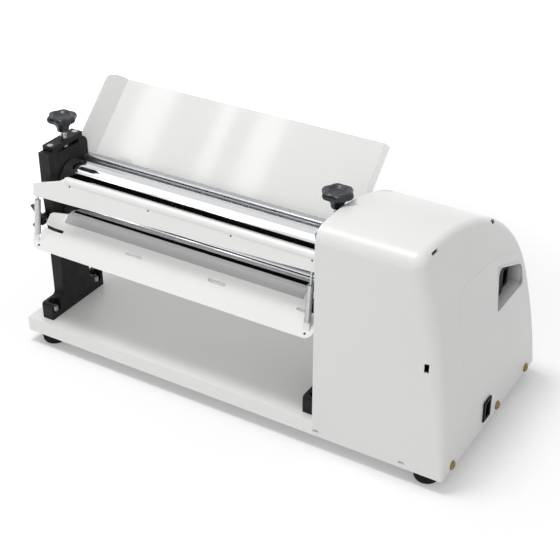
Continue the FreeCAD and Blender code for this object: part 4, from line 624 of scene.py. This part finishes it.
# %% [markdown]
# ## The raised line on the cover's end
# The end of the cover carries a faint raised arch. It is a thin round bead laid on the curved end: the
# points were read off the photograph, a smooth curve is drawn through them, and each point is set on the
# end's own arc.

# %% The arch's line
ARCH = ((69.0, 150.0), (69.0, 178.0), (76.0, 233.0), (95.0, 254.0), (142.0, 251.0), (194.0, 246.0),
        (242.0, 234.0), (289.0, 212.0))
ARCH_STEPS = 8


def smooth_line(corners, steps):
    """Points on a smooth curve through the corners."""
    padded = [corners[0]] + list(corners) + [corners[-1]]
    line = []
    for a, b, c, e in zip(padded, padded[1:], padded[2:], padded[3:]):
        for k in range(steps):
            t = k / steps
            line.append(tuple(0.5 * (2 * q + (r - p) * t + (2 * p - 5 * q + 4 * r - w) * t * t
                                     + (3 * q - p - 3 * r + w) * t ** 3)
                              for p, q, r, w in zip(a, b, c, e)))
    return line + [corners[-1]]


arch_line = smooth_line(ARCH, ARCH_STEPS)
print("points on the arch:", len(arch_line))

# %% Arch bead
COVER_END = 730.0
END_CURVE = 1100.0
BEAD_STEPS = 8
ARCH_HALF_WIDE = 0.9
ARCH_PROUD = 0.5


def end_x(z):
    """Where the cover's curved end is at a height."""
    return COVER_END - END_CURVE + math.sqrt(END_CURVE ** 2 - z ** 2)


def bead(name, line, half_wide, proud):
    """A raised line on the cover's end: half its width and its height in mm."""
    points = []
    for k, (y, z) in enumerate(line):
        before = line[max(k - 1, 0)]
        after = line[min(k + 1, len(line) - 1)]
        along = Vector((0.0, after[0] - before[0], after[1] - before[1])).normalized()
        across = Vector((0.0, -along.z, along.y))
        for angle in round_angles(BEAD_STEPS):
            offset = across * math.cos(angle) * half_wide + Vector((math.sin(angle) * proud, 0.0, 0.0))
            points.append(bench(end_x(z), y, z) + offset * MM)
    return piece(name, points, ring_faces(len(line), BEAD_STEPS), "white_cover", "base")


arch = bead("cover_arch_bead", arch_line, ARCH_HALF_WIDE, ARCH_PROUD)
print("arch bead:", len(arch.data.polygons), "faces")

# %% [markdown]
# ## Cover screws and feet
# Both are turned shapes again. The screw heads are low domes in yellow zinc, with a small recess for the
# driver, and stand for the solids' flat heads. The feet bulge where the rubber carries the weight, so a soft
# skirt goes round each one. Copies that are alike are one piece, as their solids are one node.

# %% Screw heads and foot skirts
UPWARDS = (0, 0, 1)
SCREW_AT = [(734.0, y, 8.0) for y in (33.0, 192.1, 303.0)]
SCREW_HEAD = ((-6.0, 6.9), (-3.4, 7.0), (-2.4, 6.8), (-1.3, 5.6), (-0.7, 4.2), (-0.3, 3.0), (-0.9, 2.6),
              (-1.0, 0.4))
FEET_AT = [(x, y, BENCH_ORIGIN.z) for x in (30.0, 697.0) for y in (25.0, 315.0)]
FOOT_SKIRT = ((0.0, 14.5), (1.2, 16.6), (4.0, 18.4), (9.0, 19.2), (15.0, 18.8), (19.0, 17.6), (21.6, 16.0))
heads = turned("cover_screw_heads", SCREW_AT, SIDEWAYS, SCREW_HEAD, "yellow_zinc", "base")
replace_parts(heads, "cover_screws")
skirts = turned("foot_skirts", FEET_AT, UPWARDS, FOOT_SKIRT, "rubber", "base")
print("screw heads and skirts:", len(heads.data.polygons), len(skirts.data.polygons), "faces")

# %% [markdown]
# ## Switch housings
# The photograph shows a black switch body close behind the pocket's mouth. It is a moulded block with a
# round well for its button, so it is built as four rings: the outline below and above, then the well above
# and below. Each outline point lies on the same ray from the well's middle as its point on the circle, so
# the rings match. The taller block stands round the front button, whose tall cap rides it and is pressed
# with it; the lower one shrouds the back button.

# %% Outlines of the housings
STOP_AT = (215.0, 187.0)
STOP_BLOCK = ((189.5, 169.5), (238.0, 169.5), (238.0, 214.5), (207.5, 225.5))
START_AT = (252.0, 187.0)
START_BLOCK = ((238.6, 169.5), (266.5, 169.5), (266.5, 204.5), (238.6, 214.0))
NEARLY_PARALLEL = 1e-9
CORNER_SLACK = 1e-6


def ray_to_outline(centre, angle, outline):
    """How far a ray from inside a convex outline runs before it meets it."""
    aim = Vector((math.cos(angle), math.sin(angle)))
    reaches = []
    for a, b in zip(outline, outline[1:] + outline[:1]):
        side = Vector(b) - Vector(a)
        start = Vector(a) - Vector(centre)
        cross = aim.x * side.y - aim.y * side.x
        if abs(cross) > NEARLY_PARALLEL:
            reach = (start.x * side.y - start.y * side.x) / cross
            share = (start.x * aim.y - start.y * aim.x) / cross
            if reach > 0 and -CORNER_SLACK <= share <= 1 + CORNER_SLACK:
                reaches.append(reach)
    return reaches[0]


stop_to_back = ray_to_outline(STOP_AT, 0.0, STOP_BLOCK)
print("the stop button's middle is", round(stop_to_back, 1), "mm in front of its block's back")

# %% Switch housings and cap
PLATE_TOP = 686.05
STOP_TOP = 702.0
START_TOP = 698.5
WELL_RADIUS = 12.4
WELL_STEPS = 40
HOUSING_EDGE_MM = 0.5
CAP_PROFILE = ((691.0, 10.6), (702.6, 10.6), (703.8, 9.8), (704.2, 8.6))


def well_block(name, outline, centre, top):
    """A block on the switch plate with a round well in it."""
    corners = [math.atan2(z - centre[1], y - centre[0]) for y, z in outline]
    angles = sorted(corners + [angle - math.pi for angle in round_angles(WELL_STEPS)])
    count = len(angles)
    outer = [ray_to_outline(centre, angle, outline) for angle in angles]
    well = [WELL_RADIUS] * count
    rings = ((PLATE_TOP, outer), (top, outer), (top, well), (PLATE_TOP, well))
    points = []
    faces = []
    for number, (x, reaches) in enumerate(rings):
        points += [bench(x, centre[0] + reach * math.cos(angle), centre[1] + reach * math.sin(angle))
                   for angle, reach in zip(angles, reaches)]
        faces += band(number * count, (number + 1) % len(rings) * count, count)
    block = piece(name, points, faces, "black_plastic", "base", look="black_switch")
    bevel(block, HOUSING_EDGE_MM)
    return block


housings = [
    well_block("stop_switch_housing", STOP_BLOCK, STOP_AT, STOP_TOP),
    well_block("start_switch_housing", START_BLOCK, START_AT, START_TOP),
]
cap = turned("stop_button_cap", [(0.0, *STOP_AT)], SIDEWAYS, CAP_PROFILE, "black_plastic", "stop_button",
             look="black_switch", steps=WELL_STEPS)
print("switch pieces:", [obj.name for obj in housings + [cap]])

# %% [markdown]
# ## Round corners of the switch pocket
# A moulded mouth has round corners. Each corner gets a small filling whose free side is a hollow arc that
# meets both sides of the mouth; its face follows the cover's curved end. A fine bead then runs along the
# four arcs as the mouth's lip.

# %% Corner fillings and lip
MOUTH = ((186.0, 167.0), (284.0, 167.0), (284.0, 200.0), (205.0, 230.0))
MOUTH_RADII = (5.0, 8.0, 14.0, 15.0)
ARC_STEPS = 8
# The filling's back and front, in mm under the cover's end
FILL_BACK = 3.0
FILL_FRONT = 0.05
LIP_HALF_WIDE = 1.4
LIP_PROUD = 0.8


def corner_fill(number):
    """Fills one corner of the pocket's mouth, and returns the points of its arc."""
    corner = Vector(MOUTH[number])
    radius = MOUTH_RADII[number]
    sides = [(Vector(MOUTH[(number + step) % len(MOUTH)]) - corner).normalized() for step in (1, -1)]
    half_angle = sides[0].angle(sides[1]) / 2
    reach = radius / math.tan(half_angle)
    middle = corner + (sides[0] + sides[1]).normalized() * radius / math.sin(half_angle)
    starts = [corner + side * reach - middle for side in sides]
    sweep = starts[0].angle_signed(starts[1])
    arc = [middle + Matrix.Rotation(-sweep * k / ARC_STEPS, 2) @ starts[0] for k in range(ARC_STEPS + 1)]
    outline = [corner] + arc
    points = [bench(end_x(z) - depth, y, z) for depth in (FILL_BACK, FILL_FRONT) for y, z in outline]
    # The filling takes the pocket's moulding with its painted shade, darker with depth
    piece(f"pocket_corner_{number}", points, ring_faces(2, len(outline)), "white_cover", "base",
          look="painted_shade_pocket")
    return arc


arcs = [corner_fill(number) for number in range(len(MOUTH))]
mouth_line = [tuple(point) for number in (1, 2, 3, 0) for point in reversed(arcs[number])]
bead("pocket_mouth_lip", mouth_line, LIP_HALF_WIDE, LIP_PROUD)
print("lip points:", len(mouth_line))

# %% [markdown]
# ## Floor
# The photograph is a studio shot on white, with a soft shadow under the machine. A matt sheet alone can come
# out grey. So the floor is a pale matt sheet that also glows, little near the machine and fully farther
# away: it reads as white and still keeps the shadow. Only the camera, mirrors and glass see the glow, so it
# lights nothing.

# %% Floor sheet
FLOOR_HALF = 12.0
FLOOR_CORNERS = [(-FLOOR_HALF, -FLOOR_HALF, 0), (FLOOR_HALF, -FLOOR_HALF, 0), (FLOOR_HALF, FLOOR_HALF, 0),
                 (-FLOOR_HALF, FLOOR_HALF, 0)]
floor_mesh = bpy.data.meshes.new("studio_floor")
floor_mesh.from_pydata(FLOOR_CORNERS, [], [(0, 1, 2, 3)])
floor = bpy.data.objects.new("studio_floor", floor_mesh)
bpy.context.scene.collection.objects.link(floor)
print("floor", 2 * FLOOR_HALF, "m wide")

# %% Floor paper
GLOW_RISES_FROM = 0.45
GLOW_FULL_AT = 1.4


def seen_rays(tree):
    """A socket that is one for rays from the camera, from mirrors and through glass, and else nought."""
    ray = add(tree, "ShaderNodeLightPath").outputs
    seen = add(tree, "ShaderNodeMath", links={0: ray["Is Camera Ray"], 1: ray["Is Glossy Ray"]},
               operation="MAXIMUM")
    through = add(tree, "ShaderNodeMath", links={0: seen.outputs[0], 1: ray["Is Transmission Ray"]},
                  operation="MAXIMUM")
    return through.outputs[0]


floor_paper = bpy.data.materials.new("matt_studio_paper")
floor_paper.use_nodes = True
tree = floor_paper.node_tree
tree.nodes.clear()
matt = add(tree, "ShaderNodeBsdfDiffuse", {"Color": linear("#EEEEEE")})
spot = add(tree, "ShaderNodeTexCoord")
away = add(tree, "ShaderNodeVectorMath", links={0: spot.outputs["Object"]}, operation="LENGTH")
lift = add(tree, "ShaderNodeMapRange",
           {"From Min": GLOW_RISES_FROM, "From Max": GLOW_FULL_AT, "To Min": 0.20, "To Max": 1.0},
           {"Value": away.outputs["Value"]}, interpolation_type="SMOOTHSTEP")
white = add(tree, "ShaderNodeEmission", {"Color": linear("#FFFFFF")}, {"Strength": lift.outputs["Result"]})
none = add(tree, "ShaderNodeEmission", {"Strength": 0.0})
extra = add(tree, "ShaderNodeMixShader", links={0: seen_rays(tree), 1: none.outputs[0], 2: white.outputs[0]})
both = add(tree, "ShaderNodeAddShader", links={0: matt.outputs[0], 1: extra.outputs[0]})
add(tree, "ShaderNodeOutputMaterial", links={"Surface": both.outputs[0]})
floor_mesh.materials.append(floor_paper)
print("the glow rises from", GLOW_RISES_FROM, "to", GLOW_FULL_AT, "m from the middle")

# %% [markdown]
# ## World and lamps
# White stands all round the machine. The world is full white to the camera and to mirrors, and dimmer as a
# light, so that forms keep their shade. One soft lamp above, a little to the front left, makes the shadow,
# and a wide one in front fills the dark sides. The fill is hidden from mirrors, or it would show in the
# rollers.

# %% World
world = bpy.data.worlds.new("white_studio")
bpy.context.scene.world = world
world.use_nodes = True
tree = world.node_tree
tree.nodes.clear()
glow = add(tree, "ShaderNodeBackground", {"Color": linear("#FFFFFF"), "Strength": 0.54})
backdrop = add(tree, "ShaderNodeBackground", {"Color": linear("#FFFFFF"), "Strength": 1.0})
mix = add(tree, "ShaderNodeMixShader",
          links={0: seen_rays(tree), 1: glow.outputs[0], 2: backdrop.outputs[0]})
add(tree, "ShaderNodeOutputWorld", links={"Surface": mix.outputs[0]})
bpy.context.scene.view_settings.view_transform = "Standard"
print("nodes in the world:", len(tree.nodes))

# %% Lamps
LAMPS_AIM_AT = Vector((0.0, 0.0, 0.15))


def soft_light(name, place, size, power):
    """A square soft light that looks at the machine."""
    data = bpy.data.lights.new(name, "AREA")
    data.size = size
    data.energy = power
    lamp = bpy.data.objects.new(name, data)
    lamp.location = place
    aim = LAMPS_AIM_AT - Vector(place)
    lamp.rotation_euler = aim.to_track_quat("-Z", "Y").to_euler()
    bpy.context.scene.collection.objects.link(lamp)
    return lamp


overhead = soft_light("overhead_softbox", place=(-0.35, -0.4, 2.6), size=0.6, power=27.0)
front_fill = soft_light("front_fill", place=(0.3, -3.6, 1.5), size=2.6, power=20.0)
front_fill.visible_glossy = False
print("lamps:", [lamp.name for lamp in (overhead, front_fill)])

# %% [markdown]
# ## Cards for the chrome and the tray
# A mirror has no colour of its own: it shows what stands round it. Photographers put white and black cards
# round chrome so that a roller reads as round. A bright card hangs overhead for the white band along the
# top, a black one leans to the front left for the dark band below it, and three narrow bright strips draw
# the light streaks on the glassy tray. Only reflections see the cards, so they light nothing.

# %% Reflection cards
# Each streak's left side and its width
STREAKS = ((-2.55, 0.18), (-2.12, 0.08), (-1.92, 0.14))
STREAK_SLANT = 0.12


def card(name, sides, near, far, colour, strength, slant=0.0):
    """A flat card that only reflections see. sides are its left and right x at its near edge; near and far
    are the depth and height of those edges; slant shifts the far edge to the right. All in metres."""
    left, right = sides
    corners = [(left, *near), (right, *near), (right + slant, *far), (left + slant, *far)]
    mesh = bpy.data.meshes.new(name)
    mesh.from_pydata(corners, [], [(0, 1, 2, 3)])
    paper = bpy.data.materials.new(name)
    paper.use_nodes = True
    paper.node_tree.nodes.clear()
    glow = add(paper.node_tree, "ShaderNodeEmission", {"Color": linear(colour), "Strength": strength})
    add(paper.node_tree, "ShaderNodeOutputMaterial", links={"Surface": glow.outputs[0]})
    mesh.materials.append(paper)
    obj = bpy.data.objects.new(name, mesh)
    bpy.context.scene.collection.objects.link(obj)
    obj.visible_camera = False
    obj.visible_diffuse = False
    obj.visible_shadow = False
    obj.visible_transmission = False
    obj.visible_volume_scatter = False
    return obj


cards = [
    card("overhead_white_card", (-3.4, 0.6), near=(-0.9, 3.4), far=(1.2, 3.4),
         colour="#FFFFFF", strength=1.6),
    card("front_black_card", (-3.6, 0.0), near=(-3.7, 0.0), far=(-1.65, 3.1),
         colour="#0A0A0B", strength=1.0),
]
for number, (x, wide) in enumerate(STREAKS):
    streak = card(f"streak_{number}_card", (x, x + wide), near=(-1.6, 3.15), far=(-0.9, 3.55),
                  colour="#FFFFFF", strength=3.5, slant=STREAK_SLANT)
    cards.append(streak)
print("cards:", [obj.name for obj in cards])
